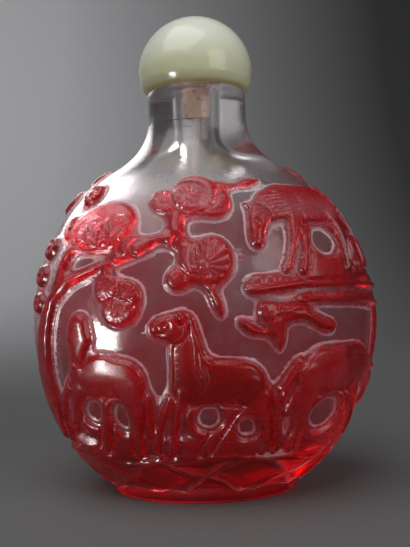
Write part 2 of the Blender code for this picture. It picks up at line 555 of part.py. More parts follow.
# the spoon: a thin stem, gently bent, with a small hollowed bowl at its end
stem_top = CORK_BOTTOM + CORK_SOCKET_DEPTH - FIT_GAP
stem_end = CORK_BOTTOM - STEM_LENGTH
wire = bpy.data.curves.new("stem", "CURVE")
wire.dimensions = "3D"
wire.bevel_depth = STEM_RADIUS
wire.bevel_resolution = 2
wire.use_fill_caps = True
spline = wire.splines.new("POLY")
spline.points.add(8)
for i, point in enumerate(spline.points):
    share = i / 8
    z = stem_top + (stem_end + 0.55 * SPOON_LENGTH - stem_top) * share
    bend = max((CORK_BOTTOM - z) / STEM_LENGTH, 0.0) ** 1.35
    point.co = (-STEM_LEAN * bend, 0.0, z, 1.0)
    point.radius = 1.0 - 0.12 * share
stem = add_object("stem", wire, cutters)
stem_mesh = bpy.data.meshes.new_from_object(stem.evaluated_get(bpy.context.evaluated_depsgraph_get()))
bpy.data.objects.remove(stem)


def ball(name, centre, sizes, where):
    work = bmesh.new()
    bmesh.ops.create_uvsphere(work, u_segments=16, v_segments=9, radius=1.0)
    mesh = bpy.data.meshes.new(name)
    bmesh.ops.scale(work, vec=sizes, verts=work.verts)
    bmesh.ops.translate(work, vec=centre, verts=work.verts)
    work.to_mesh(mesh)
    work.free()
    return add_object(name, mesh, where)


bowl_z = stem_end + 0.5 * SPOON_LENGTH
bowl_x = -STEM_LEAN * 0.97
bowl = ball("bowl", (bowl_x, 0.0, bowl_z), (SPOON_HALF_WIDTH, 0.75 * STEM_RADIUS, 0.5 * SPOON_LENGTH), cutters)
scoop = ball("scoop", (bowl_x, -0.9 * STEM_RADIUS, bowl_z - 0.12 * SPOON_LENGTH),
             (0.72 * SPOON_HALF_WIDTH, 0.9 * STEM_RADIUS, 0.30 * SPOON_LENGTH), cutters)
spoon = add_object("spoon", stem_mesh, parts)
stem_mesh.materials.clear()
stem_mesh.materials.append(ivory_white)
for name, tool, way in (("bowl", bowl, "UNION"), ("scoop", scoop, "DIFFERENCE")):
    joined = spoon.modifiers.new(name, "BOOLEAN")
    joined.object = tool
    joined.operation = way
    joined.solver = "EXACT"
shade(stem_mesh, 50)

for thing in cutters.objects:
    thing.hide_render = True
    thing.display_type = "WIRE"

# the carving stands prouder on the right, so everything moves over until the outline is centred
across = [vertex.co.x for vertex in glass.vertices]
for thing in (*parts.objects, *cutters.objects):
    thing.location.x = -(min(across) + max(across)) / 2
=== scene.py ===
import math

import bpy
import numpy as np
from mathutils import Matrix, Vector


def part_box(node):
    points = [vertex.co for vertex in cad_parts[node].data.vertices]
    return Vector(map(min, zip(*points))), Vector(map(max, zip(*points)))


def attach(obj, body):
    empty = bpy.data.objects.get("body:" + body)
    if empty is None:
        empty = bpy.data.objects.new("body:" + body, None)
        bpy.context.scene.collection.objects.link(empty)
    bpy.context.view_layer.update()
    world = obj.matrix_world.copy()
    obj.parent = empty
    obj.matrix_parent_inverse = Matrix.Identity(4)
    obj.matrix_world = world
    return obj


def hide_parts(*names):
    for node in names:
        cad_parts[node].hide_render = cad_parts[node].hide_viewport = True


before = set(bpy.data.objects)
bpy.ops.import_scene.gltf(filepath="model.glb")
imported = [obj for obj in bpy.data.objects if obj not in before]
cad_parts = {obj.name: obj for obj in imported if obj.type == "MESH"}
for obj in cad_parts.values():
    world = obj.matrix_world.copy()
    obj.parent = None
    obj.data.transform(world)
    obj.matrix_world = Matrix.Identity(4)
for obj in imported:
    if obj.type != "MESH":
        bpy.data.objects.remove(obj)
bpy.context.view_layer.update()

# ---------------------------------------------------------------------------------------------------
# The bottle: a clear, hollow, flattened-round glass bottle on an oval foot. A thin layer of ruby glass is
# fused to its outside and cut through round horses, pines, ledges and a band of rock, so the figures stand
# proud with rounded satin tops. The hollow is ground out by hand, which frosts its wall below the bore.
# ---------------------------------------------------------------------------------------------------
MM = 0.001
BELLY_HALF_WIDTH = 26.6 * MM
BELLY_HALF_DEPTH = 17.2 * MM
BELLY_MIDDLE = 26.5 * MM
BELLY_RISE = 27.5 * MM
BELLY_DROP = 28.8 * MM
WALL = 3.2 * MM
FLOOR = 5.0 * MM
FOOT_HEIGHT = 2.6 * MM
NECK_RADIUS = 7.8 * MM
NECK_FLARE = 5.8 * MM
LIP = 62.5 * MM
LIP_EDGE = 0.5 * MM
BORE_RADIUS = 2.5 * MM
BORE_FLARE = 5.0 * MM
NECK_SEAM = 57.0 * MM
OVERLAY = 1.21 * MM
CUT = 0.80 * MM
GROUND_LINE = 8.6 * MM
CENTRE_HORSE = 13.2 * MM
LEFT_HORSE = 13.2 * MM
RIGHT_HORSE = 12.9 * MM
LEDGE_HORSE = 11.3 * MM
BACK_HORSE = 14.0 * MM
FINE_STEPS = 4000
HOLLOW_COLUMNS = 112
FOOT_COLUMNS = 160
FRONT_CELL = 0.14 * MM
BACK_CELL = 0.40 * MM
FRONT_TRIANGLES = 146000
BACK_TRIANGLES = 26000
FINE_TO = 96
THINNED_TO = 102
RUBY_FULL = 0.28
RUBY_THIN = 0.12
BASE_RUBY_TO = 8.2 * MM
EDGE_RUBY_FROM = 20.5 * MM
RECESS = 1.6 * MM
# the neck's axis, which stands a little to the left of the outline's middle
AXIS = 0.5 * (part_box("stopper_cap")[0][0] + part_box("stopper_cap")[1][0])


def oval_into_round(z, belly_half, rise, drop, radius, blend):
    """Half-width or half-depth at heights z of an oval belly that melts into a round neck or bore."""
    level = z - BELLY_MIDDLE
    reach = np.where(level > 0, rise, drop)
    plain = belly_half * np.sqrt(np.clip(1 - (level / reach) ** 2, 0, 1))
    low = np.full(z.shape, 0.5 * radius)
    high = np.full(z.shape, belly_half + radius)
    # the gap to belly and neck, melted together, is brought to zero by halving
    for step in range(40):
        half = (low + high) / 2
        share = np.hypot(half / belly_half, level / rise)
        to_belly = share * (share - 1) / np.hypot(half / belly_half**2, level / rise**2)
        to_neck = half - radius
        melting = np.clip(blend - np.abs(to_belly - to_neck), 0, None) / blend
        gap = np.minimum(to_belly, to_neck) - melting**2 * blend / 4
        low = np.where(gap < 0, half, low)
        high = np.where(gap < 0, high, half)
    return np.where(level > 0, half, plain)


def outline_of(levels, wide_half, deep_half, rise, drop, radius, blend):
    """Rows of (half-width, half-depth, height) of an oval wall."""
    levels = np.array(levels, dtype=float)
    wide = oval_into_round(levels, wide_half, rise, drop, radius, blend)
    deep = oval_into_round(levels, deep_half, rise, drop, radius, blend)
    return list(zip(wide, deep, levels))


def arc(centre, radius, start, stop, steps):
    """Points of a round corner in (across, up), angles in degrees."""
    turns = [math.radians(start + (stop - start) * i / steps) for i in range(steps + 1)]
    return [(centre[0] + radius * math.cos(a), centre[1] + radius * math.sin(a)) for a in turns]


def read_all(items, what, width=1, kind=float):
    """One property of all vertices, edges, loops, faces or attribute values, as rows of width numbers."""
    values = np.empty(len(items) * width, dtype=kind)
    items.foreach_get(what, values)
    return values.reshape(-1, width) if width > 1 else values


def turned(outline, turns):
    """Rows and columns of places round the upright axis, from (half-width, half-depth, height)."""
    wide, deep, level = np.array(outline).T[:, :, None]
    return np.stack([wide * np.cos(turns), deep * np.sin(turns), level + 0 * turns], axis=2)


def wrapped(name, places, **values):
    """A grid whose vertices go to rows and columns of places, merged where its sides meet."""
    down, across = places.shape[0] - 1, places.shape[1] - 1
    bpy.ops.object.select_all(action="DESELECT")
    bpy.ops.mesh.primitive_grid_add(x_subdivisions=across, y_subdivisions=down, size=1)
    made = bpy.context.object
    made.name = made.data.name = name
    flat = read_all(made.data.vertices, "co", 3)
    column = np.rint((flat[:, 0] + 0.5) * across).astype(int)
    row = np.rint((flat[:, 1] + 0.5) * down).astype(int)
    made.data.vertices.foreach_set("co", places[row, column].ravel())
    for what, value in values.items():
        made.data.attributes.new(what, "FLOAT", "POINT").data.foreach_set("value", value[row, column])
    bpy.ops.object.mode_set(mode="EDIT")
    bpy.ops.mesh.select_all(action="SELECT")
    bpy.ops.mesh.remove_doubles(threshold=0.00001)
    bpy.ops.object.mode_set(mode="OBJECT")
    return made


def outward(places):
    """Unit normals of a wrapped grid of places."""
    closed = np.concatenate([places[:, -2:-1], places, places[:, 1:2]], axis=1)
    normals = np.cross(closed[:, 2:] - closed[:, :-2], np.gradient(places, axis=0))
    normals /= np.linalg.norm(normals, axis=2)[:, :, None]
    return normals * np.where((normals * places)[:, :, :2].sum(axis=2) < 0, -1, 1)[:, :, None]


def softened(field, passes):
    """Blur a field that lies on a wrapped grid."""
    for step in range(passes):
        field = np.concatenate([field[:1], field, field[-1:]])
        field = (field[:-2] + 2 * field[1:-1] + field[2:]) / 4
        field = np.concatenate([field[:, -2:-1], field, field[:, 1:2]], axis=1)
        field = (field[:, :-2] + 2 * field[:, 1:-1] + field[:, 2:]) / 4
    return field


def soft_step(x):
    """0 below 0 and 1 above 1, with a smooth climb between."""
    x = np.clip(x, 0.0, 1.0)
    return x * x * (3 - 2 * x)


def in_mm(joints):
    """Metres of joints given in millimetres."""
    return [(x * MM, z * MM, r * MM) for x, z, r in joints]


def limb(s, t, joints):
    """Gap to a chain of tapered rounds, negative inside, and the places along and across it."""
    gap = np.full(s.shape, 9.0)
    along = np.zeros(s.shape)
    across = np.zeros(s.shape)
    run = 0.0
    for (x0, y0, r0), (x1, y1, r1) in zip(joints, joints[1:]):
        dx, dy = x1 - x0, y1 - y0
        length = math.hypot(dx, dy)
        held = np.clip(((s - x0) * dx + (t - y0) * dy) / length**2, 0, 1)
        here = np.hypot(s - x0 - held * dx, t - y0 - held * dy) - (r0 + held * (r1 - r0))
        nearer = here < gap
        along = np.where(nearer, run + held * length, along)
        across = np.where(nearer, ((s - x0) * dy - (t - y0) * dx) / length, across)
        gap = np.minimum(gap, here)
        run += length
    return gap, along, across


def melt(a, b, k):
    """Smooth union of two gaps."""
    h = np.clip(0.5 + 0.5 * (b - a) / k, 0, 1)
    return b * (1 - h) + a * h - k * h * (1 - h)


def lay_over(under, gap, top, edge, cut=0.6):
    """Lay a carved form over what is there, with a cut round it where it crosses another."""
    gap = gap - 0.25 * edge
    groove = soft_step(1 - np.abs(gap - 0.1 * edge) / (0.5 * edge))
    inside = soft_step(-gap / edge)
    return under * (1 - cut * groove) * (1 - inside) + top * inside


# Horses face -s and stand on t = 0. A joint is (across, up, half thickness) and a window is (across, up,
# half width, half height), all as shares of the withers' height.
STANDING = dict(
    barrel=[(-0.20, 0.80, 0.22), (0.03, 0.80, 0.22), (0.27, 0.78, 0.22)],
    neck=[(-0.25, 0.84, 0.21), (-0.295, 1.06, 0.18), (-0.315, 1.22, 0.155), (-0.325, 1.41, 0.11)],
    head=[(-0.440, 1.355, 0.145), (-0.53, 1.36, 0.118), (-0.60, 1.350, 0.090)],
    ear=[(-0.35, 1.46, 0.045), (-0.36, 1.52, 0.02)],
    fore=[(-0.33, 0.70, 0.11), (-0.415, 0.48, 0.060), (-0.45, 0.18, 0.046), (-0.47, 0.05, 0.06)],
    far_fore=[(-0.39, 0.74, 0.09), (-0.545, 0.48, 0.052), (-0.63, 0.17, 0.040), (-0.655, 0.05, 0.05)],
    hind=[(0.32, 0.72, 0.19), (0.45, 0.50, 0.10), (0.49, 0.32, 0.062),
          (0.51, 0.13, 0.048), (0.50, 0.04, 0.06)],
    far_hind=[(0.14, 0.58, 0.12), (0.10, 0.44, 0.062), (-0.02, 0.24, 0.048), (-0.13, 0.04, 0.05)],
    tail=[(0.42, 0.84, 0.06), (0.53, 0.62, 0.085), (0.585, 0.36, 0.095), (0.60, 0.08, 0.095)],
    windows=[(-0.085, 0.41, 0.185, 0.165), (0.320, 0.295, 0.165, 0.155)],
    mane=0.052, mane_from=0.0, face=True,
)
GRAZING = dict(
    STANDING,
    barrel=[(-0.14, 0.86, 0.235), (0.10, 0.88, 0.245), (0.34, 0.88, 0.24)],
    neck=[(-0.16, 0.88, 0.21), (-0.40, 0.84, 0.185), (-0.62, 0.73, 0.145)],
    head=[(-0.67, 0.69, 0.125), (-0.77, 0.52, 0.10), (-0.82, 0.37, 0.085)],
    ear=[(-0.72, 0.80, 0.04), (-0.77, 0.86, 0.02)],
    fore=[(-0.20, 0.66, 0.11), (-0.37, 0.33, 0.055), (-0.49, 0.11, 0.046), (-0.55, 0.03, 0.055)],
    far_fore=[(-0.10, 0.64, 0.10), (-0.215, 0.30, 0.055), (-0.29, 0.09, 0.045), (-0.33, 0.02, 0.055)],
    hind=[(0.46, 0.80, 0.20), (0.49, 0.55, 0.11), (0.46, 0.33, 0.066),
          (0.44, 0.13, 0.05), (0.42, 0.04, 0.06)],
    far_hind=[(0.56, 0.62, 0.12), (0.66, 0.32, 0.06), (0.70, 0.06, 0.05)],
    tail=[(0.62, 0.98, 0.06), (0.76, 0.72, 0.08), (0.81, 0.40, 0.09), (0.84, 0.10, 0.07)],
    windows=[(0.13, 0.37, 0.27, 0.25), (0.58, 0.27, 0.09, 0.17)],
    mane=0.045, mane_from=-0.3,
)
TURNED = dict(
    STANDING,
    barrel=[(-0.24, 0.80, 0.17), (0.0, 0.86, 0.215), (0.18, 0.83, 0.21)],
    neck=[(-0.12, 0.88, 0.19), (-0.33, 0.84, 0.14), (-0.36, 1.05, 0.10)],
    head=[(-0.32, 1.40, 0.12), (-0.325, 1.25, 0.155), (-0.335, 1.07, 0.085)],
    fore=[(-0.38, 0.72, 0.11), (-0.50, 0.50, 0.070), (-0.60, 0.25, 0.050), (-0.68, 0.08, 0.058)],
    far_fore=[(-0.46, 0.80, 0.08), (-0.66, 0.56, 0.05), (-0.76, 0.30, 0.045), (-0.82, 0.10, 0.05)],
    hind=[(0.20, 0.76, 0.19), (0.23, 0.52, 0.09), (0.20, 0.32, 0.060),
          (0.16, 0.12, 0.05), (0.14, 0.04, 0.06)],
    far_hind=[(0.0, 0.66, 0.10), (-0.10, 0.46, 0.055), (-0.19, 0.25, 0.045), (-0.25, 0.06, 0.05)],
    tail=[(0.32, 0.90, 0.05), (0.365, 0.64, 0.075), (0.33, 0.34, 0.085), (0.28, 0.06, 0.075)],
    windows=[(-0.285, 0.47, 0.165, 0.180), (0.045, 0.42, 0.135, 0.190)],
    mane=0, face=False,
)


def horse(high, deep, s, t, size, pose, faces=-1, dark=0.0):
    """Carve one horse, s and t metres from the ground between its hooves; dark deepens the body's ruby."""
    s = -faces * s / size
    t = t / size
    edge = CUT / size
    near = (np.abs(s) < 1.2) & (t > -0.3) & (t < 1.8)
    s, t, h = s[near], t[near], high[near]
    # rock left standing between the legs, with windows cut through it
    left = pose["far_fore"][-1][0] + 0.10
    right = pose["tail"][-1][0] - 0.05
    rock = melt(limb(s, t, [(left, 0.06, 0.16), (right, 0.06, 0.17)])[0],
                limb(s, t, [(x, 0.44, 0.10 + wide) for x, y, wide, tall in pose["windows"]])[0], 0.08)
    h = lay_over(h, rock, 0.72 + 0 * s, edge)
    gap, _, across = limb(s, t, pose["tail"])
    h = lay_over(h, gap, 0.74 + 0.20 * np.cos(across * 2 * math.pi / 0.052), edge, 0.8)
    for name in ("far_hind", "far_fore"):
        gap = limb(s, t, pose[name])[0]
        h = lay_over(h, gap, 0.62 + 0.16 * soft_step(-gap / 0.05), 0.8 * edge, 0.8)
    for x, y, wide, tall in pose["windows"]:
        r = np.hypot((s - x) / wide, (t - y) / tall)
        h = h * soft_step((r - 0.72) * wide / edge)
    gap, along, across = limb(s, t, pose["neck"])
    body = melt(limb(s, t, pose["barrel"])[0], gap, 0.12)
    h = lay_over(h, body, 0.72 + 0.28 * soft_step(-body / 0.2), edge, 0.8)
    for name in ("hind", "fore"):
        held = limb(s, t, pose[name])[0]
        groove = 0.42 * soft_step(1 - np.abs(held - 0.02) / (0.45 * edge)) * soft_step(1.1 - t / 0.8)
        h = np.maximum(h - groove, (0.76 + 0.24 * soft_step(-held / 0.09)) * soft_step(0.25 - held / edge))
    if pose["mane"]:
        mane = soft_step(-(gap + 0.02) / 0.05)
        strands = 0.5 + 0.5 * np.cos((across + 0.012 * np.sin(along * 14)) * 2 * math.pi / pose["mane"])
        h = h - 0.26 * mane * strands * soft_step((across - pose["mane_from"]) / 0.05)
    gap = limb(s, t, pose["head"])[0]
    h = lay_over(h, gap, 0.70 + 0.24 * soft_step(-gap / 0.10), 0.7 * edge, 0.5)
    if pose["face"]:
        h = lay_over(h, limb(s, t, pose["ear"])[0], 0.94 + 0 * s, 0.6 * edge)
        (x0, y0, r0), (xm, ym, rm), (x1, y1, r1) = pose["head"]
        eye = np.hypot(s - 0.35 * x0 - 0.65 * xm, t - 0.35 * y0 - 0.65 * ym - 0.02)
        h = h - 0.20 * soft_step(1 - np.abs(eye - 0.036) / 0.020)
        nostril = np.hypot(s - x1 + 0.15 * (x1 - xm), t - y1)
        h = h - 0.22 * soft_step(1 - nostril / 0.030)
        mouth = np.hypot((s - x1 - 0.02) / 0.07, (t - y1 + 0.045) / 0.02)
        h = h - 0.25 * soft_step(1.4 - mouth)
        jaw = np.abs(np.hypot(s - 0.9 * x0 - 0.1 * xm, t - 0.9 * y0 - 0.1 * ym) - 0.10)
        h = h - 0.22 * soft_step(1 - jaw / 0.02) * soft_step(-gap / 0.03) * (s > x0)
    high[near] = h
    inside = soft_step((0.03 - body) / 0.10) * soft_step(3.6 - t / 0.30)
    deep[near] = deep[near] * (1 - inside) + dark * inside


def round_gap(s, t, across, up, reach, squash):
    """Gap to a squashed round, negative inside, and the share of its reach."""
    r = np.hypot((s - across) / reach, (t - up) / (reach * squash))
    return (r - 1) * reach * min(1.0, squash), r


def fan(high, deep, s, t, across, up, reach, squash, hub=(0.0, -0.10)):
    """Carve one round fan with needle strokes from a small hub to its edge, or, with no hub, a dome."""
    gap, r = round_gap(s, t, across, up, reach, squash)
    near = r < 1.6
    s, t, gap, r = s[near], t[near], gap[near], r[near]
    top = 0.88 - 0.10 * r * r
    # painted sheen: the fan's face is paler inside its edge, standing for light on its satin top
    pale = -0.55 * soft_step((1.0 - r) / 0.3)
    if hub:
        u, v = (s - across) / reach - hub[0], (t - up) / (reach * squash) - hub[1]
        out = np.hypot(u, v)
        needles = 10 + int(3 * reach / MM)
        stroke = (0.5 + 0.5 * np.cos(needles * np.arctan2(v, u))) * soft_step((out - 0.20) / 0.16)
        ring = soft_step(1 - np.abs(out - 0.24) / 0.08)
        top = top - (0.17 + 0.07 * reach / MM) * stroke * soft_step((1.06 - r) / 0.2) - 0.16 * ring
        # painted highlight: the needle strokes and the hub ring are paler still, and are cut as grooves as
        # well
        pale = pale + 0.50 * stroke + 0.35 * ring
    high[near] = lay_over(high[near], gap, top, CUT, 0.3)
    inside = soft_step(-gap / CUT)
    deep[near] = deep[near] * (1 - inside) + pale * inside


def pine(high, deep, s, t, fans, boughs):
    """Carve a cluster of fans and boughs that melt into one outline with rounded bays."""
    whole = np.full(s.shape, 9.0)
    for across, up, reach, squash, *hub in fans:
        round_base = round_gap(s, t, (across + 0.4) * MM, (up - 0.35) * MM, (reach + 0.2) * MM, squash)[0]
        whole = melt(whole, round_base, 1.7 * MM)
    for joints in boughs:
        whole = melt(whole, limb(s, t, in_mm(joints))[0], 1.7 * MM)
    high[:] = lay_over(high, whole, 0.64 + 0.10 * soft_step(-whole / (0.9 * MM)), CUT)
    for joints in boughs:
        gap, along, across = limb(s, t, in_mm(joints))
        lines = 0.5 + 0.5 * np.cos(along * 2 * math.pi / (1.9 * MM) + across / (0.5 * MM))
        top = 0.72 + 0.20 * soft_step(-gap / (0.9 * MM)) - 0.04 * lines
        high[:] = np.maximum(high, top * soft_step(-gap / CUT))
    for across, up, reach, squash, *hub in fans:
        fan(high, deep, s, t, across * MM, up * MM, reach * MM, squash, *hub)


def ledge(high, s, t, joints, hatch):
    """Carve a rock ledge: an upright face with chisel lines, and a heavier plain lower lip."""
    gap, along, across = limb(s, t, in_mm(joints))
    face = 0.58 + 0.36 * soft_step(across / (0.5 * MM))
    lines = 0.5 + 0.5 * np.cos(along * 2 * math.pi / hatch + across / (0.9 * MM))
    face = face - 0.20 * lines * soft_step((0.3 * MM - across) / (0.4 * MM))
    high[:] = lay_over(high, gap, face, CUT)


def ground_band(high, turn, z):
    """Carve the band of crossing rock ridges below the ground line, and give how dark its ruby is, with
    painted highlights on its ridges and painted shade between them.
    """
    line = GROUND_LINE + 0.5 * MM * np.sin(5 * turn + 0.6) + 0.25 * MM * np.sin(13 * turn)
    inside = soft_step((line - z) / CUT + 0.25)
    deep = np.clip((line - z) / (GROUND_LINE - FOOT_HEIGHT), 0, 1.2)
    ridges = np.zeros(z.shape)
    for way in (-1, 1):
        wave = np.abs(((9 * turn / (2 * math.pi) + way * deep * 0.9) % 1) - 0.5) * 2
        ridges = np.maximum(ridges, soft_step(1 - wave / 0.36))
    top = 0.60 + 0.38 * ridges
    lip = soft_step(1 - np.abs(line - z - 0.8 * MM) / (0.7 * MM))
    top = np.maximum(top, 0.60 + 0.34 * lip)
    high[:] = np.maximum(high, top * inside)
    # painted highlight: the ridges are paler; painted shade: the ruby is deeper between them
    return inside * (0.9 - 1.5 * ridges)


def carving(x, y, z):
    """Height of the relief at places on the ground, as a share of the overlay, and how dark it is."""
    turn = np.arctan2(x / BELLY_HALF_WIDTH, -y / BELLY_HALF_DEPTH)
    reach = np.where(z > BELLY_MIDDLE, BELLY_RISE, BELLY_DROP)
    share = np.sqrt(np.clip(1 - ((z - BELLY_MIDDLE) / reach) ** 2, 0, 1))
    table = np.radians(np.arange(-540.0, 541.0))
    pace = np.hypot(BELLY_HALF_WIDTH * np.cos(table), BELLY_HALF_DEPTH * np.sin(table))
    girth = np.concatenate([[0.0], np.cumsum((pace[1:] + pace[:-1]) / 2 * math.radians(1))])

    def along_from(degrees, height=0.0):
        """Distance round the belly from a bearing, and height above a level."""
        start = math.radians(degrees)
        swing = (turn - start + math.pi) % (2 * math.pi) - math.pi
        around = np.interp(start + swing, table, girth) - np.interp(start, table, girth)
        return around * share, z - height

    high = np.zeros(z.shape)
    deep = np.zeros(z.shape)

    # front left: the trunk, its bough and the upper fans
    s, t = along_from(-48)
    pine(high, deep, s, t,
         [(-1.6, 45.8, 1.7, 0.85), (-2.0, 40.9, 1.6, 1.1), (3.6, 41.0, 4.8, 0.66, None),
          (2.6, 39.6, 2.4, 0.76), (6.2, 39.7, 2.3, 0.82), (10.5, 37.8, 2.4, 0.58)],
         [[(-5.4, 11, 2.2), (-5.0, 20, 1.9), (-4.0, 26, 1.7), (-2.4, 30.4, 1.3), (0.4, 33.0, 1.0),
           (4.0, 34.3, 0.8), (7.6, 35.7, 0.8), (9.8, 37.0, 0.8)],
          [(-1.2, 32.6, 1.2), (-0.9, 36.0, 1.1), (0.4, 38.2, 1.0)]])
    # left edge: fans beyond the trunk
    s, t = along_from(-66)
    pine(high, deep, s, t, [(0.0, 38.2, 1.7, 0.9), (-0.4, 34.2, 1.8, 0.85), (0.0, 30.2, 1.6, 0.9)], [])
    # front left: the three lower fans
    s, t = along_from(-28)
    pine(high, deep, s, t, [(2.1, 31.1, 1.9, 0.90), (0.9, 28.7, 2.2, 0.66), (-0.9, 32.0, 1.7, 1.0)],
         [[(1.6, 31.0, 1.9), (1.5, 29.4, 1.9)], [(-1.0, 34.8, 0.8), (-1.0, 33.2, 0.8)]])
    # front middle: the upper cluster on its stem, the lower cluster with its hanging leaf, and the twig
    s, t = along_from(0)
    pine(high, deep, s, t,
         [(-4.9, 44.0, 2.1, 0.78), (2.0, 43.6, 2.1, 0.93), (-0.6, 44.9, 3.1, 0.86, None),
          (-1.3, 44.3, 2.1, 0.78)],
         [[(-3.0, 42.4, 1.2), (-3.2, 40.4, 1.25), (-3.1, 38.4, 1.2), (-2.0, 37.4, 1.0)],
          [(-8.6, 37.4, 0.8), (-6.4, 38.4, 0.7), (-4.4, 38.7, 0.8), (-3.0, 38.2, 0.9)],
          [(2.8, 45.8, 0.5), (5.4, 46.0, 0.40), (6.8, 46.4, 0.75), (8.6, 46.9, 0.35)]])
    pine(high, deep, s, t,
         [(-0.8, 36.0, 2.0, 1.05, None), (-3.4, 33.1, 1.35, 0.95), (1.5, 35.7, 2.6, 1.2, (-0.40, -0.30))],
         [[(-2.6, 37.8, 0.8), (-1.4, 36.8, 0.9)],
          [(-2.4, 33.8, 1.0), (-0.4, 34.2, 1.3)],
          [(0.9, 33.0, 0.6), (1.4, 31.4, 0.5), (2.2, 29.6, 0.75), (3.0, 27.2, 0.2)]])
    # front right: the sprig below the ledge
    s, t = along_from(24, 29 * MM)
    pine(high, deep, s, t, [(-1.9, -0.4, 1.3, 0.9)],
         [[(-6.3, -1.3, 0.2), (-5.2, -2.2, 0.7), (-4.0, -3.0, 0.75), (-2.4, -3.5, 0.4), (-0.6, -3.2, 0.6)],
          [(-1.6, -0.8, 1.0), (-0.9, -2.0, 1.0), (-0.4, -3.4, 0.6), (-0.3, -4.8, 0.75), (-0.1, -6.4, 0.2)],
          [(-1.2, -1.0, 0.9), (1.2, -0.6, 0.9), (3.4, 0.3, 1.0)],
          [(1.2, -0.9, 0.9), (3.6, -1.2, 0.7), (5.0, -1.9, 0.8), (6.4, -2.7, 0.9), (8.0, -3.1, 0.9)]])
    # right: the ledges and the horse grazing on the upper one
    s, t = along_from(43)
    ledge(high, s, t, [(-4.8, 30.2, 0.7), (0.5, 30.1, 0.95), (6.5, 29.9, 1.1),
                       (15.0, 28.8, 1.2)], 2.3 * MM)
    ledge(high, s, t, [(-11.4, 31.95, 1.4), (-5.0, 32.5, 1.15), (3.0, 32.5, 1.2), (12.0, 31.9, 1.4),
                       (15.5, 31.2, 1.2)], 1.9 * MM)
    s, t = along_from(43, 33.6 * MM)
    horse(high, deep, s, t, LEDGE_HORSE, GRAZING, dark=-0.40)
    # the horses on the ground: right, left and centre
    s, t = along_from(51, GROUND_LINE)
    horse(high, deep, s, t, RIGHT_HORSE, GRAZING, faces=1, dark=-0.30)
    s, t = along_from(-30, GROUND_LINE)
    horse(high, deep, s, t, LEFT_HORSE, TURNED, dark=-0.15)
    s, t = along_from(4.2, GROUND_LINE)
    horse(high, deep, s, t, CENTRE_HORSE, STANDING, dark=6.0)

    # right side: rocks and a young pine
    s, t = along_from(90)
    pine(high, deep, s, t,
         [(4.6, 29.5, 2.7, 0.85), (-0.4, 36.4, 2.8, 0.85), (3.6, 38.4, 2.9, 0.85), (4.4, 33.8, 2.4, 0.85)],
         [[(3, 7, 2.6), (1, 17, 2.0), (-0.5, 26, 1.6), (2, 35, 1.1)]])
    # left, towards the back: the same, turned about
    s, t = along_from(-122)
    pine(high, deep, s, t, [(-4.0, 30.5, 2.6, 0.85), (-3.0, 37.6, 2.8, 0.85), (1.4, 43.0, 2.4, 0.85)],
         [[(-2, 7, 2.4), (-1.4, 17, 1.9), (0.4, 26, 1.6), (-1.6, 36, 1.1), (1, 42, 0.9)]])
    # both shoulders, towards the back: the tops of the pines
    s, t = along_from(102)
    pine(high, deep, s, t, [(0.0, 49.0, 2.2, 0.75), (2.4, 46.2, 2.3, 0.8), (-1.6, 45.6, 2.0, 0.8)], [])
    s, t = along_from(-100)
    pine(high, deep, s, t, [(0.0, 49.0, 2.2, 0.75), (-2.4, 46.2, 2.3, 0.8), (2.2, 45.4, 2.2, 0.8)], [])
    # back, plainer: two horses under a spreading pine
    s, t = along_from(180)
    pine(high, deep, s, t,
         [(9.0, 36.5, 3.2, 0.85), (15.5, 35.4, 3.3, 0.85), (12.4, 40.0, 3.2, 0.85),
          (-9.0, 40.0, 3.2, 0.85), (-15.0, 38.4, 3.4, 0.85), (-12.0, 43.4, 3.0, 0.85),
          (9.4, 45.2, 2.9, 0.85), (-3.6, 43.6, 3.4, 0.85), (3.2, 43.0, 3.2, 0.85), (0.2, 46.8, 3.2, 0.85)],
         [[(1, 8, 2.3), (-1, 20, 1.7), (2, 31, 1.4), (-1, 40, 1.2)],
          [(1.5, 30, 1.2), (8, 34, 1.0), (15, 34, 0.9)],
          [(0, 34, 1.2), (-8, 38, 1.0), (-15, 37, 0.9)]])
    s, t = along_from(150, GROUND_LINE)
    horse(high, deep, s, t, BACK_HORSE, GRAZING, faces=1)
    s, t = along_from(-148, GROUND_LINE)
    horse(high, deep, s, t, BACK_HORSE, STANDING)

    # lower left: a smooth facet of rock
    s, t = along_from(-50, 10.4 * MM)
    gap = round_gap(s, t, 0, 0, 2.4 * MM, 0.45)[0]
    facet = 0.5 - 0.28 * s / MM - 0.67 * t / MM
    high = lay_over(high, gap, np.clip(facet, 0.0, 1.0), 0.4 * MM)
    # painted highlight: the facet's ruby is made paler
    deep -= 0.5 * soft_step(-gap / (0.5 * MM))
    # the overlay is thinner over the trunk at the left edge
    deep -= 0.30 * soft_step((-48 - np.degrees(turn)) / 12) * (turn > -2)
    # below the ground line the band's colour holds, with its painted highlights and painted shade
    band = ground_band(high, turn, z)
    deep = np.where(z < GROUND_LINE - 0.5 * MM, band, deep)
    fade = soft_step((BELLY_MIDDLE + 0.9 * BELLY_RISE - z) / (1.5 * MM))
    return np.clip(high * fade, 0.0, 1.0), deep * fade


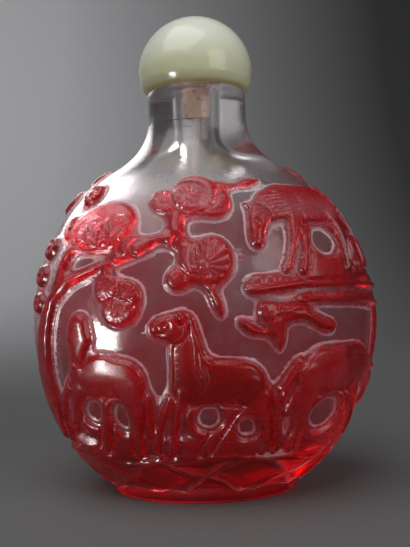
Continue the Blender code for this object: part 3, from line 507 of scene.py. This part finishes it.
# the carved belly, with its finest cells over the front
belly_sizes = (BELLY_HALF_WIDTH, BELLY_HALF_DEPTH, BELLY_RISE, BELLY_DROP, NECK_RADIUS, NECK_FLARE)
fine = np.linspace(NECK_SEAM, FOOT_HEIGHT, FINE_STEPS)
wide = np.array(outline_of(fine, *belly_sizes))[:, 0]
paces = np.concatenate([[0.0], np.cumsum(np.hypot(np.diff(wide), np.diff(fine)))])
levels = np.interp(np.linspace(0, paces[-1], int(paces[-1] / FRONT_CELL) + 1), paces, fine)
around = np.linspace(math.pi / 2, 5 * math.pi / 2, FINE_STEPS)
facing = np.abs(np.degrees(around) - 270)
cells = np.hypot(BELLY_HALF_WIDTH * np.sin(around), BELLY_HALF_DEPTH * np.cos(around))
cells /= np.interp(facing, (82, 100), (FRONT_CELL, BACK_CELL))
cells = np.concatenate([[0.0], np.cumsum((cells[1:] + cells[:-1]) / 2 * (around[1] - around[0]))])
turns = np.interp(np.linspace(0, cells[-1], int(cells[-1]) + 1), cells, around)
ground = turned(outline_of(levels, *belly_sizes), turns)
heights, deep = carving(*np.moveaxis(ground, 2, 0))
heights[(levels > levels[1]) | (levels < levels[-2])] = 0.0
heights = softened(heights, 1)
# a low clear step runs round every figure, with rounded bays
near = softened(soft_step((heights - 0.2) / 0.3), 36)
heights = np.maximum(heights, 0.20 * soft_step((near - 0.06) / 0.16))
# the ruby stays where the relief is high and is deepest in bodies; painted shade deepens it towards lower
# right edges, and a painted highlight makes it a little paler on upper left edges
shape = softened(soft_step((heights - 0.35) / 0.3), 14)
painted_edge_shade = np.clip(-(np.gradient(shape, axis=0) + np.gradient(shape, axis=1)) / 0.16, -1, 1)
deep = 0.50 + deep + 0.50 * np.clip(painted_edge_shade, -0.3, 1)
ruby = soft_step((heights - 0.27) / 0.30) * np.clip(deep, 0.13, 7.0)
# painted highlight: the cut edges are given pale lines, most of all below and to the right of a figure,
# where such edges catch the light
side = softened(near, 6)
lower_right_highlight = np.clip(-(np.gradient(side, axis=0) + np.gradient(side, axis=1)) / 0.10, -1, 1)
line = soft_step(1.9 - np.abs(near - 0.15) / 0.06) * (0.80 + 0.35 * lower_right_highlight)
# the step round each figure is pink, and paler on the painted highlight lines
ruby += 0.22 * soft_step((near - 0.06) / 0.20) * (1 - 0.15 * line)
carved = ground + outward(ground) * (heights * OVERLAY)[:, :, None]
bottle = wrapped("bottle_glass", carved, ruby=ruby, line=line)
# flat parts are thinned, the back first and most
spots = read_all(bottle.data.vertices, "co", 3)
bearing = np.degrees(np.abs(np.arctan2(spots[:, 0] / BELLY_HALF_WIDTH, -spots[:, 1] / BELLY_HALF_DEPTH)))
at_first = 2 * len(bottle.data.polygons)
halfway = at_first * np.mean(bearing <= FINE_TO) + BACK_TRIANGLES
at_last = FRONT_TRIANGLES + BACK_TRIANGLES
for name, chosen, before, after in (("back", bearing > FINE_TO, at_first, halfway),
                                    ("front", bearing < THINNED_TO, halfway, at_last)):
    group = bottle.vertex_groups.new(name=name)
    group.add(np.flatnonzero(chosen).tolist(), 1.0, "REPLACE")
    thinned = bottle.modifiers.new(name, "DECIMATE")
    thinned.ratio = after / before
    thinned.vertex_group = name
    bpy.ops.object.modifier_apply(modifier=thinned.name)
bottle.vertex_groups.clear()

# the lip, the bore and the hollow inside
rise = BELLY_RISE - WALL
drop = BELLY_MIDDLE - FLOOR
levels = [BELLY_MIDDLE - drop * math.cos(math.radians(90 * i / 26)) for i in range(1, 26)]
levels += [BELLY_MIDDLE + rise * math.sin(math.radians(90 * i / 26)) for i in range(26)]
levels += list(np.linspace(BELLY_MIDDLE + rise, LIP - LIP_EDGE, 18)[:-1])
inner = [(0.0, 0.0, FLOOR)]
inner += outline_of(levels, BELLY_HALF_WIDTH - WALL, BELLY_HALF_DEPTH - WALL, rise, drop,
                    BORE_RADIUS, BORE_FLARE)
inner += [(r, r, z) for r, z in arc((BORE_RADIUS + LIP_EDGE, LIP - LIP_EDGE), LIP_EDGE, 180, 90, 5)]
inner += [(r, r, z) for r, z in arc((NECK_RADIUS - LIP_EDGE, LIP - LIP_EDGE), LIP_EDGE, 90, 0, 5)]
inner += outline_of(np.linspace(LIP - LIP_EDGE, NECK_SEAM, 8)[1:], *belly_sizes)
hollow = wrapped("hollow", turned(inner, np.linspace(0, 2 * math.pi, HOLLOW_COLUMNS + 1)))

# the foot ring
at_foot = math.sqrt(1 - ((FOOT_HEIGHT - BELLY_MIDDLE) / BELLY_DROP) ** 2)
foot_wide = BELLY_HALF_WIDTH * at_foot + 0.25 * MM
foot_deep = BELLY_HALF_DEPTH * at_foot + 0.25 * MM
ring = []
for r, z in (arc((-0.35, 2.25), 0.35, 90, 0, 5) + arc((-0.85, 0.35), 0.35, 0, -90, 5)
             + arc((-1.95, 0.35), 0.35, 270, 180, 4) + [(-2.45, 0.96), (-2.8, 1.6)]):
    ring.append((foot_wide + r * MM, foot_deep + r * MM, z * MM))
ring += [(0.5 * foot_wide, 0.5 * foot_deep, RECESS), (0.0, 0.0, RECESS)]
foot = wrapped("foot", turned(ring, np.linspace(0, 2 * math.pi, FOOT_COLUMNS + 1)))


def select_open_edges():
    """In edit mode, select the rims of a mesh that isn't closed yet."""
    bpy.ops.mesh.select_mode(type="EDGE")
    bpy.ops.mesh.select_all(action="DESELECT")
    bpy.ops.mesh.select_non_manifold(use_wire=False, use_multi_face=False, use_non_contiguous=False,
                                     use_verts=False)


# the three are joined, and bridged at the neck and at the foot
bpy.ops.object.select_all(action="DESELECT")
for piece in (hollow, foot, bottle):
    piece.select_set(True)
bpy.context.view_layer.objects.active = bottle
bpy.ops.object.join()
for upper in (True, False):
    bpy.ops.object.mode_set(mode="EDIT")
    select_open_edges()
    bpy.ops.object.mode_set(mode="OBJECT")
    spots = read_all(bottle.data.vertices, "co", 3)
    ends = read_all(bottle.data.edges, "vertices", 2, np.int32)
    rims = read_all(bottle.data.edges, "select", kind=bool)
    rims &= (spots[ends[:, 0], 2] > BELLY_MIDDLE) == upper
    bottle.data.vertices.foreach_set("select", np.zeros(len(spots), dtype=bool))
    bottle.data.polygons.foreach_set("select", np.zeros(len(bottle.data.polygons), dtype=bool))
    bottle.data.edges.foreach_set("select", rims)
    bpy.ops.object.mode_set(mode="EDIT")
    bpy.ops.mesh.bridge_edge_loops()
    bpy.ops.object.mode_set(mode="OBJECT")
bpy.ops.object.mode_set(mode="EDIT")
bpy.ops.mesh.select_all(action="SELECT")
bpy.ops.mesh.normals_make_consistent(inside=False)
bpy.ops.transform.translate(value=(AXIS, 0, 0))
bpy.ops.object.mode_set(mode="OBJECT")
bpy.ops.object.shade_smooth_by_angle(angle=math.radians(50))


def maths(tree, operation, a, b=None, c=None, clamp=False):
    """A Math node's output; each operand is a number or a socket."""
    made = tree.nodes.new("ShaderNodeMath")
    made.operation = operation
    made.use_clamp = clamp
    for i, value in enumerate((a, b, c)):
        if value is None:
            continue
        if isinstance(value, (int, float)):
            made.inputs[i].default_value = value
        else:
            tree.links.new(value, made.inputs[i])
    return made.outputs[0]


def blank(name):
    """A new material, its tree and its shader, and a socket of the object's own places."""
    made = bpy.data.materials.new(name)
    made.use_nodes = True
    tree = made.node_tree
    place = tree.nodes.new("ShaderNodeTexCoord").outputs["Object"]
    return made, tree, tree.nodes["Principled BSDF"], place


def noise(tree, place, scale, detail=3.0, rough=0.5):
    """A soft noise of places, from 0 to 1."""
    made = tree.nodes.new("ShaderNodeTexNoise")
    made.inputs["Scale"].default_value = scale
    made.inputs["Detail"].default_value = detail
    made.inputs["Roughness"].default_value = rough
    tree.links.new(place, made.inputs["Vector"])
    return made.outputs["Fac"]


def mix(tree, factor, a, b):
    """A colour between a and b, each a colour or a socket."""
    made = tree.nodes.new("ShaderNodeMix")
    made.data_type = "RGBA"
    tree.links.new(factor, made.inputs["Factor"])
    for value, place in ((a, made.inputs["A"]), (b, made.inputs["B"])):
        if isinstance(value, tuple):
            place.default_value = (*value, 1.0)
        else:
            tree.links.new(value, place)
    return made.outputs["Result"]


def bump(tree, height, strength, distance):
    """A normal that follows a height."""
    made = tree.nodes.new("ShaderNodeBump")
    made.inputs["Strength"].default_value = strength
    made.inputs["Distance"].default_value = distance
    tree.links.new(height, made.inputs["Height"])
    return made.outputs["Normal"]


def climb(tree, place, axis, start, full, kind="SMOOTHSTEP"):
    """A value that climbs from 0 at start to 1 at full, along one axis of place."""
    apart = tree.nodes.new("ShaderNodeSeparateXYZ")
    tree.links.new(place, apart.inputs[0])
    made = tree.nodes.new("ShaderNodeMapRange")
    made.interpolation_type = kind
    made.inputs["From Min"].default_value = start
    made.inputs["From Max"].default_value = full
    tree.links.new(apart.outputs[axis], made.inputs["Value"])
    return made.outputs["Result"]


def ruby_glass(name, seen_through, roughness):
    """Glass whose colour deepens with the ruby attribute, from clear by pink to red."""
    made, tree, shader, place = blank(name)
    # the ruby attribute also carries the relief's painted highlights and painted shade
    ruby_and_painted_light = tree.nodes.new("ShaderNodeAttribute")
    ruby_and_painted_light.attribute_name = "ruby"
    cloud = noise(tree, place, 150.0, 6.0, 0.65)
    streaks = noise(tree, place, 520.0, 3.0, 0.6)
    # a patchy pink haze lies over the clear ground, and painted shade deepens it lower down
    patchy = maths(tree, "MULTIPLY_ADD", streaks, 1.6, -1.6)
    patchy = maths(tree, "MULTIPLY_ADD", cloud, 2.6, patchy, clamp=True)
    low = climb(tree, place, "Z", 0.044, 0.022)
    haze_and_low_shade = maths(tree, "MULTIPLY_ADD", maths(tree, "MULTIPLY", low, patchy), 0.24, 0.012)
    uneven = maths(tree, "MULTIPLY_ADD", streaks, 0.5, maths(tree, "MULTIPLY_ADD", cloud, 1.1, 0.20))
    depth = maths(tree, "MULTIPLY_ADD", ruby_and_painted_light.outputs["Fac"], uneven, haze_and_low_shade)
    tint = tree.nodes.new("ShaderNodeCombineColor")
    for channel, rate in (("Red", 0.09), ("Green", 5.8), ("Blue", 5.2)):
        let_through = maths(tree, "EXPONENT", maths(tree, "MULTIPLY", depth, -rate))
        tree.links.new(let_through, tint.inputs[channel])
    tree.links.new(tint.outputs["Color"], shader.inputs["Base Color"])
    grain = noise(tree, place, 2600.0, 2.0)
    rough = maths(tree, "MULTIPLY_ADD", grain, 0.12, roughness - 0.10)
    tree.links.new(maths(tree, "MULTIPLY_ADD", cloud, 0.12, rough), shader.inputs["Roughness"])
    tree.links.new(bump(tree, grain, 0.1, 0.00004), shader.inputs["Normal"])
    shader.inputs["Metallic"].default_value = 0.0
    shader.inputs["Transmission Weight"].default_value = seen_through
    shader.inputs["IOR"].default_value = 1.5
    return made


# the hollow's wall: polished in the bore, frosted below it, and painted pinker and darker lower down as
# shade
frosted, tree, shader, place = blank("frosted_glass")
grain = noise(tree, place, 1500.0, 4.0, 0.6)
ground_down = climb(tree, place, "Z", 0.053, 0.046)
rough = maths(tree, "MULTIPLY", ground_down, maths(tree, "MULTIPLY_ADD", grain, 0.18, 0.20))
tree.links.new(maths(tree, "ADD", rough, 0.03), shader.inputs["Roughness"])
# painted shade: the wall's colour is pinker and darker lower down
tint = mix(tree, climb(tree, place, "Z", 0.050, 0.030), (0.96, 0.96, 0.96), (0.78, 0.50, 0.54))
tree.links.new(tint, shader.inputs["Base Color"])
dents = maths(tree, "MULTIPLY", grain, ground_down)
tree.links.new(bump(tree, dents, 0.3, 0.00006), shader.inputs["Normal"])
shader.inputs["Metallic"].default_value = 0.0
shader.inputs["Transmission Weight"].default_value = 0.92
shader.inputs["IOR"].default_value = 1.5

# the places of the six glasses on the bottle
CLEAR, CASED, FROSTED, CUT_EDGE_HIGHLIGHT, CLEAR_RUBY, THIN_RUBY = range(6)
bottle.data.materials.clear()
for glass in (ruby_glass("clear_glass", 0.95, 0.12), ruby_glass("cased_glass", 0.70, 0.24), frosted,
              ruby_glass("cut_edge_highlight_glass", 0.42, 0.30), ruby_glass("clear_ruby_glass", 0.90, 0.18),
              ruby_glass("thin_ruby_glass", 0.86, 0.25)):
    bottle.data.materials.append(glass)
# faces inside the middle of the wall are the hollow's, and the others go by their ruby and their painted
# highlight line
half_wall = 0.5 * WALL
middle = np.array(outline_of(
    np.linspace(FLOOR - 1 * MM, LIP, 400), BELLY_HALF_WIDTH - half_wall, BELLY_HALF_DEPTH - half_wall,
    BELLY_RISE - half_wall, BELLY_DROP - half_wall, 0.5 * (NECK_RADIUS + BORE_RADIUS), NECK_FLARE))
spots = read_all(bottle.data.polygons, "center", 3)
share = np.hypot((spots[:, 0] - AXIS) / np.interp(spots[:, 2], middle[:, 2], middle[:, 0]),
                 spots[:, 1] / np.interp(spots[:, 2], middle[:, 2], middle[:, 1]))
inner_faces = (share < 1) & (spots[:, 2] > 0.5 * (FLOOR + RECESS)) & (spots[:, 2] < LIP - LIP_EDGE)
points = read_all(bottle.data.vertices, "co", 3)
corners = read_all(bottle.data.loops, "vertex_index", kind=np.int32)
starts = read_all(bottle.data.polygons, "loop_start", kind=np.int32)
ruby = read_all(bottle.data.attributes["ruby"].data, "value")
line = read_all(bottle.data.attributes["line"].data, "value")
# painted highlight: the foot is pale along its top edge and redder lower down
on_foot = points[:, 2] < FOOT_HEIGHT + 0.05 * MM
ruby[on_foot] = 0.10 + 0.40 * soft_step((2.3 * MM - points[on_foot, 2]) / (0.6 * MM))
bottle.data.attributes["ruby"].data.foreach_set("value", ruby)
reddest = np.maximum.reduceat(ruby[corners], starts)
kinds = np.where(reddest > RUBY_THIN, THIN_RUBY, CLEAR)
kinds = np.where(reddest > RUBY_FULL, CASED, kinds).astype(np.int32)
# faces on a painted highlight line take the pale cut edge glass
kinds[(np.minimum.reduceat(line[corners], starts) > 0.25) & (kinds != CASED)] = CUT_EDGE_HIGHLIGHT
see_into = (spots[:, 2] < BASE_RUBY_TO) | (np.abs(spots[:, 0] - AXIS) > EDGE_RUBY_FROM)
kinds[(kinds == CASED) & see_into] = CLEAR_RUBY
kinds[inner_faces] = FROSTED
bottle.data.polygons.foreach_set("material_index", kinds)
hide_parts("bottle")
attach(bottle, "root")

# ---------------------------------------------------------------------------------------------------
# The stopper: a low dome of pale green stone, milky and polished, a little yellower towards its rim. It
# sits on the lip of the bottle, and a shallow socket in its underside takes the top of the cork.
# ---------------------------------------------------------------------------------------------------
CAP_BOTTOM = LIP + 0.3 * MM
CAP_RIM_RADIUS = 8.5 * MM
CAP_BULGE = 0.5 * MM
CAP_BULGE_HEIGHT = 2.9 * MM
CAP_HEIGHT = 11.6 * MM
CAP_EDGE = 0.5 * MM
SOCKET_RADIUS = 2.5 * MM
SOCKET_DEPTH = 2.2 * MM


def drawn_up(name, outline, columns):
    """A round piece drawn up ring by ring from a disc, on an outline of (radius, height)."""
    bpy.ops.object.select_all(action="DESELECT")
    radius, height = outline[1]
    bpy.ops.mesh.primitive_circle_add(vertices=columns, radius=radius, fill_type="TRIFAN",
                                      location=(0, 0, 0))
    made = bpy.context.object
    made.name = made.data.name = name
    bpy.ops.object.mode_set(mode="EDIT")
    bpy.ops.mesh.select_all(action="SELECT")
    bpy.ops.transform.translate(value=(0, 0, height))
    select_open_edges()
    for wider, higher in outline[2:-1]:
        bpy.ops.mesh.extrude_edges_move(TRANSFORM_OT_translate=dict(value=(0, 0, higher - height)))
        bpy.ops.transform.resize(value=(wider / radius, wider / radius, 1), center_override=(0, 0, higher))
        radius, height = wider, higher
    bpy.ops.mesh.edge_face_add()
    bpy.ops.mesh.poke()
    bpy.ops.mesh.select_all(action="SELECT")
    bpy.ops.mesh.normals_make_consistent(inside=False)
    bpy.ops.transform.translate(value=(AXIS, 0, 0))
    bpy.ops.object.mode_set(mode="OBJECT")
    return made


# the socket, the rounded rim, the side that swells to the bulge, and the dome
bulge = CAP_RIM_RADIUS + CAP_BULGE
bulge_at = CAP_BOTTOM + CAP_BULGE_HEIGHT
outline = [(0.0, CAP_BOTTOM + SOCKET_DEPTH), (SOCKET_RADIUS, CAP_BOTTOM + SOCKET_DEPTH),
           (SOCKET_RADIUS, CAP_BOTTOM)]
outline += arc((CAP_RIM_RADIUS - CAP_EDGE, CAP_BOTTOM + CAP_EDGE), CAP_EDGE, -90, 0, 5)
outline += [(CAP_RIM_RADIUS + 0.65 * CAP_BULGE * math.sin(math.pi / 2 * i / 5),
             CAP_BOTTOM + CAP_EDGE + (0.5 * CAP_BULGE_HEIGHT - CAP_EDGE) * i / 5) for i in range(1, 6)]
outline += [(bulge * math.cos(math.radians(i * 2.5)), bulge_at + (CAP_BOTTOM + CAP_HEIGHT - bulge_at)
             * math.sin(math.radians(i * 2.5))) for i in range(36)]
outline += [(0.0, CAP_BOTTOM + CAP_HEIGHT)]
cap = drawn_up("stopper", outline, 144)
bpy.ops.object.shade_smooth_by_angle(angle=math.radians(40))

stone, tree, shader, place = blank("pale_green_stone")
above_rim = climb(tree, place, "Z", 0.063, 0.069, "LINEAR")
cloud = noise(tree, place, 180.0, 5.0)
milky = mix(tree, cloud, (0.85, 0.88, 0.70), (0.92, 0.94, 0.82))
rim = mix(tree, cloud, (0.84, 0.86, 0.50), (0.90, 0.91, 0.60))
tree.links.new(mix(tree, above_rim, rim, milky), shader.inputs["Base Color"])
rough = maths(tree, "MULTIPLY_ADD", noise(tree, place, 900.0), 0.10, 0.10)
tree.links.new(rough, shader.inputs["Roughness"])
shader.inputs["Metallic"].default_value = 0.0
shader.inputs["Subsurface Weight"].default_value = 0.9
shader.inputs["Subsurface Radius"].default_value = (0.0040, 0.0044, 0.0028)
shader.inputs["Subsurface Scale"].default_value = 1.0
cap.data.materials.append(stone)
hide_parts("stopper_cap")
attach(cap, "root")

# ---------------------------------------------------------------------------------------------------
# The cork: a short plug of natural cork under the stopper, tan with darker flecks, rough and a bit worn.
# It hangs in the bore and shows through the clear neck, and a hole in its foot holds the spoon.
# ---------------------------------------------------------------------------------------------------
CORK_RADIUS = 2.2 * MM
CORK_TOP = CAP_BOTTOM + SOCKET_DEPTH - 0.3 * MM
CORK_BOTTOM = CORK_TOP - 6.8 * MM
HOLE_RADIUS = 0.92 * MM
HOLE_TOP = CORK_BOTTOM + 2.4 * MM
outline = [(0.0, HOLE_TOP), (HOLE_RADIUS, HOLE_TOP), (HOLE_RADIUS, CORK_BOTTOM)]
outline += arc((CORK_RADIUS - 0.40 * MM, CORK_BOTTOM + 0.25 * MM), 0.25 * MM, -90, 0, 4)
outline += [(CORK_RADIUS - 0.15 * MM + 0.15 * MM * i / 8, CORK_BOTTOM + 0.25 * MM + 3.2 * MM * i / 8)
            for i in range(1, 9)]
outline += arc((CORK_RADIUS - 0.2 * MM, CORK_TOP - 0.2 * MM), 0.2 * MM, 0, 90, 4)
outline += [(0.0, CORK_TOP)]
plug = drawn_up("cork", outline, 64)
bpy.ops.object.shade_smooth_by_angle(angle=math.radians(40))

cork, tree, shader, place = blank("tan_cork")
patches = noise(tree, place, 420.0, 5.0, 0.6)
flecks = tree.nodes.new("ShaderNodeTexVoronoi")
flecks.inputs["Scale"].default_value = 900.0
tree.links.new(place, flecks.inputs["Vector"])
dark = maths(tree, "LESS_THAN", flecks.outputs["Distance"], 0.22)
body = mix(tree, patches, (0.60, 0.37, 0.20), (0.92, 0.70, 0.48))
body = mix(tree, maths(tree, "MULTIPLY", dark, 0.6), body, (0.16, 0.08, 0.04))
tree.links.new(body, shader.inputs["Base Color"])
tree.links.new(maths(tree, "MULTIPLY_ADD", patches, 0.2, 0.7), shader.inputs["Roughness"])
tree.links.new(bump(tree, maths(tree, "SUBTRACT", patches, dark), 0.5, 0.0001), shader.inputs["Normal"])
shader.inputs["Metallic"].default_value = 0.0
plug.data.materials.append(cork)
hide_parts("stopper_cork")
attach(plug, "root")

# ---------------------------------------------------------------------------------------------------
# The spoon: a slender ivory-white stem with a small hollowed bowl, held in the cork and hanging inside the
# bottle. It is smooth and satin, with faint lengthwise streaks.
# ---------------------------------------------------------------------------------------------------
ivory, tree, shader, place = blank("ivory_white")
stretch = tree.nodes.new("ShaderNodeMapping")
stretch.inputs["Scale"].default_value = (1.0, 1.0, 0.12)
tree.links.new(place, stretch.inputs["Vector"])
streaks = noise(tree, stretch.outputs["Vector"], 1400.0, 4.0)
tree.links.new(mix(tree, streaks, (0.88, 0.84, 0.76), (0.96, 0.95, 0.91)), shader.inputs["Base Color"])
tree.links.new(maths(tree, "MULTIPLY_ADD", streaks, 0.2, 0.3), shader.inputs["Roughness"])
shader.inputs["Metallic"].default_value = 0.0
shader.inputs["Subsurface Weight"].default_value = 0.15
shader.inputs["Subsurface Radius"].default_value = (0.0008, 0.0007, 0.0005)
shader.inputs["Subsurface Scale"].default_value = 1.0
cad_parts["spoon"].material_slots[0].material = ivory

# ---------------------------------------------------------------------------------------------------
# The stage: one pale sheet that lies flat under the bottle and sweeps up far behind it into a soft grey
# backdrop, with painted light at the left where the window light comes from, and painted shade at the
# right.
# ---------------------------------------------------------------------------------------------------
bpy.ops.object.select_all(action="DESELECT")
bpy.ops.mesh.primitive_grid_add(x_subdivisions=40, y_subdivisions=80, size=1)
sheet = bpy.context.object
sheet.name = sheet.data.name = "floor"
flat = read_all(sheet.data.vertices, "co", 3)
width, length, nearest, bend, bend_start = 2.4, 1.9, -0.55, 0.30, 0.75
run = (flat[:, 1] + 0.5) * length
turn = np.clip((run - bend_start) / bend, 0, math.pi / 2)
past = np.clip(run - bend_start - bend * math.pi / 2, 0, None)
back = np.minimum(run, bend_start) + nearest + bend * np.sin(turn)
placed = np.stack([flat[:, 0] * width, back, bend * (1 - np.cos(turn)) + past], axis=1)
sheet.data.vertices.foreach_set("co", placed.ravel())
bpy.ops.object.shade_smooth()
paper, tree, shader, place = blank("floor_paper")
# painted light and shade: the backdrop is light at the left and dark at the right
sideways = climb(tree, place, "X", -0.12, 0.16, "LINEAR")
backward = climb(tree, place, "Y", 0.08, 0.32, "LINEAR")
backdrop = mix(tree, sideways, (0.62, 0.62, 0.63), (0.07, 0.07, 0.071))
tree.links.new(mix(tree, backward, (0.15, 0.15, 0.15), backdrop), shader.inputs["Base Color"])
shader.inputs["Roughness"].default_value = 0.9
sheet.data.materials.append(paper)

# ---------------------------------------------------------------------------------------------------
# Light and camera: a small window of light close at the left, a broad soft light above, one at the right,
# a weak one behind the bottle and one on the backdrop. The camera is close in front, at the height of the
# bottle's middle, very slightly rolled.
# ---------------------------------------------------------------------------------------------------
world = bpy.data.worlds.new("room")
bpy.context.scene.world = world
world.use_nodes = True
world.node_tree.nodes["Background"].inputs["Color"].default_value = (0.80, 0.84, 0.90, 1.0)
world.node_tree.nodes["Background"].inputs["Strength"].default_value = 0.11


def soft_light(name, place, aim, wide, tall, watts):
    """A rectangle of light at a place, turned to a point with its top up."""
    bpy.ops.object.light_add(type="AREA", location=place)
    made = bpy.context.object
    made.name = name
    made.data.shape = "RECTANGLE"
    made.data.size = wide
    made.data.size_y = tall
    made.data.energy = watts
    back = np.array(place) - np.array(aim)
    back /= np.linalg.norm(back)
    side = np.cross((0, 0, 1), back)
    side /= np.linalg.norm(side)
    up = np.cross(back, side)
    made.rotation_euler = Matrix((side.tolist(), up.tolist(), back.tolist())).transposed().to_euler()
    return made


window = soft_light("window", (-0.0743, -0.0669, 0.0173), (0, 0, 0.034), 0.018, 0.024, 0.06)
soft_light("overhead", (-0.11, -0.13, 0.36), (0, 0, 0.03), 0.36, 0.36, 0.88)
behind = soft_light("behind", (-0.14, 0.16, 0.20), (0, 0, 0.045), 0.16, 0.16, 0.045)
behind.data.spread = math.radians(50)
behind.visible_camera = False
# these two light the pieces named alone, and the window is seen in reflections only
for light, pieces in ((behind, (bottle, plug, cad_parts["spoon"])),
                      (window, (bottle, cap, plug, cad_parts["spoon"]))):
    lit = bpy.data.collections.new("lit by " + light.name)
    for piece in pieces:
        lit.objects.link(piece)
    light.light_linking.receiver_collection = lit
window.visible_transmission = window.visible_diffuse = False
glow = soft_light("backdrop", (-0.45, 0.10, 0.45), (-0.25, 0.50, 0.22), 0.30, 0.30, 0.24)
glow.data.spread = math.radians(90)
soft_light("fill", (0.34, -0.34, 0.20), (0, 0, 0.03), 0.30, 0.30, 0.62)

bpy.ops.object.camera_add(location=(0.00064 + AXIS, -0.11056, 0.0338),
                          rotation=(math.pi / 2, math.radians(1.6), 0.0))
camera = bpy.context.object
camera.data.lens = 45.48
camera.data.sensor_width = 36.0
camera.data.clip_start = 0.005
bpy.context.scene.camera = camera
bpy.context.scene.view_settings.view_transform = "Standard"
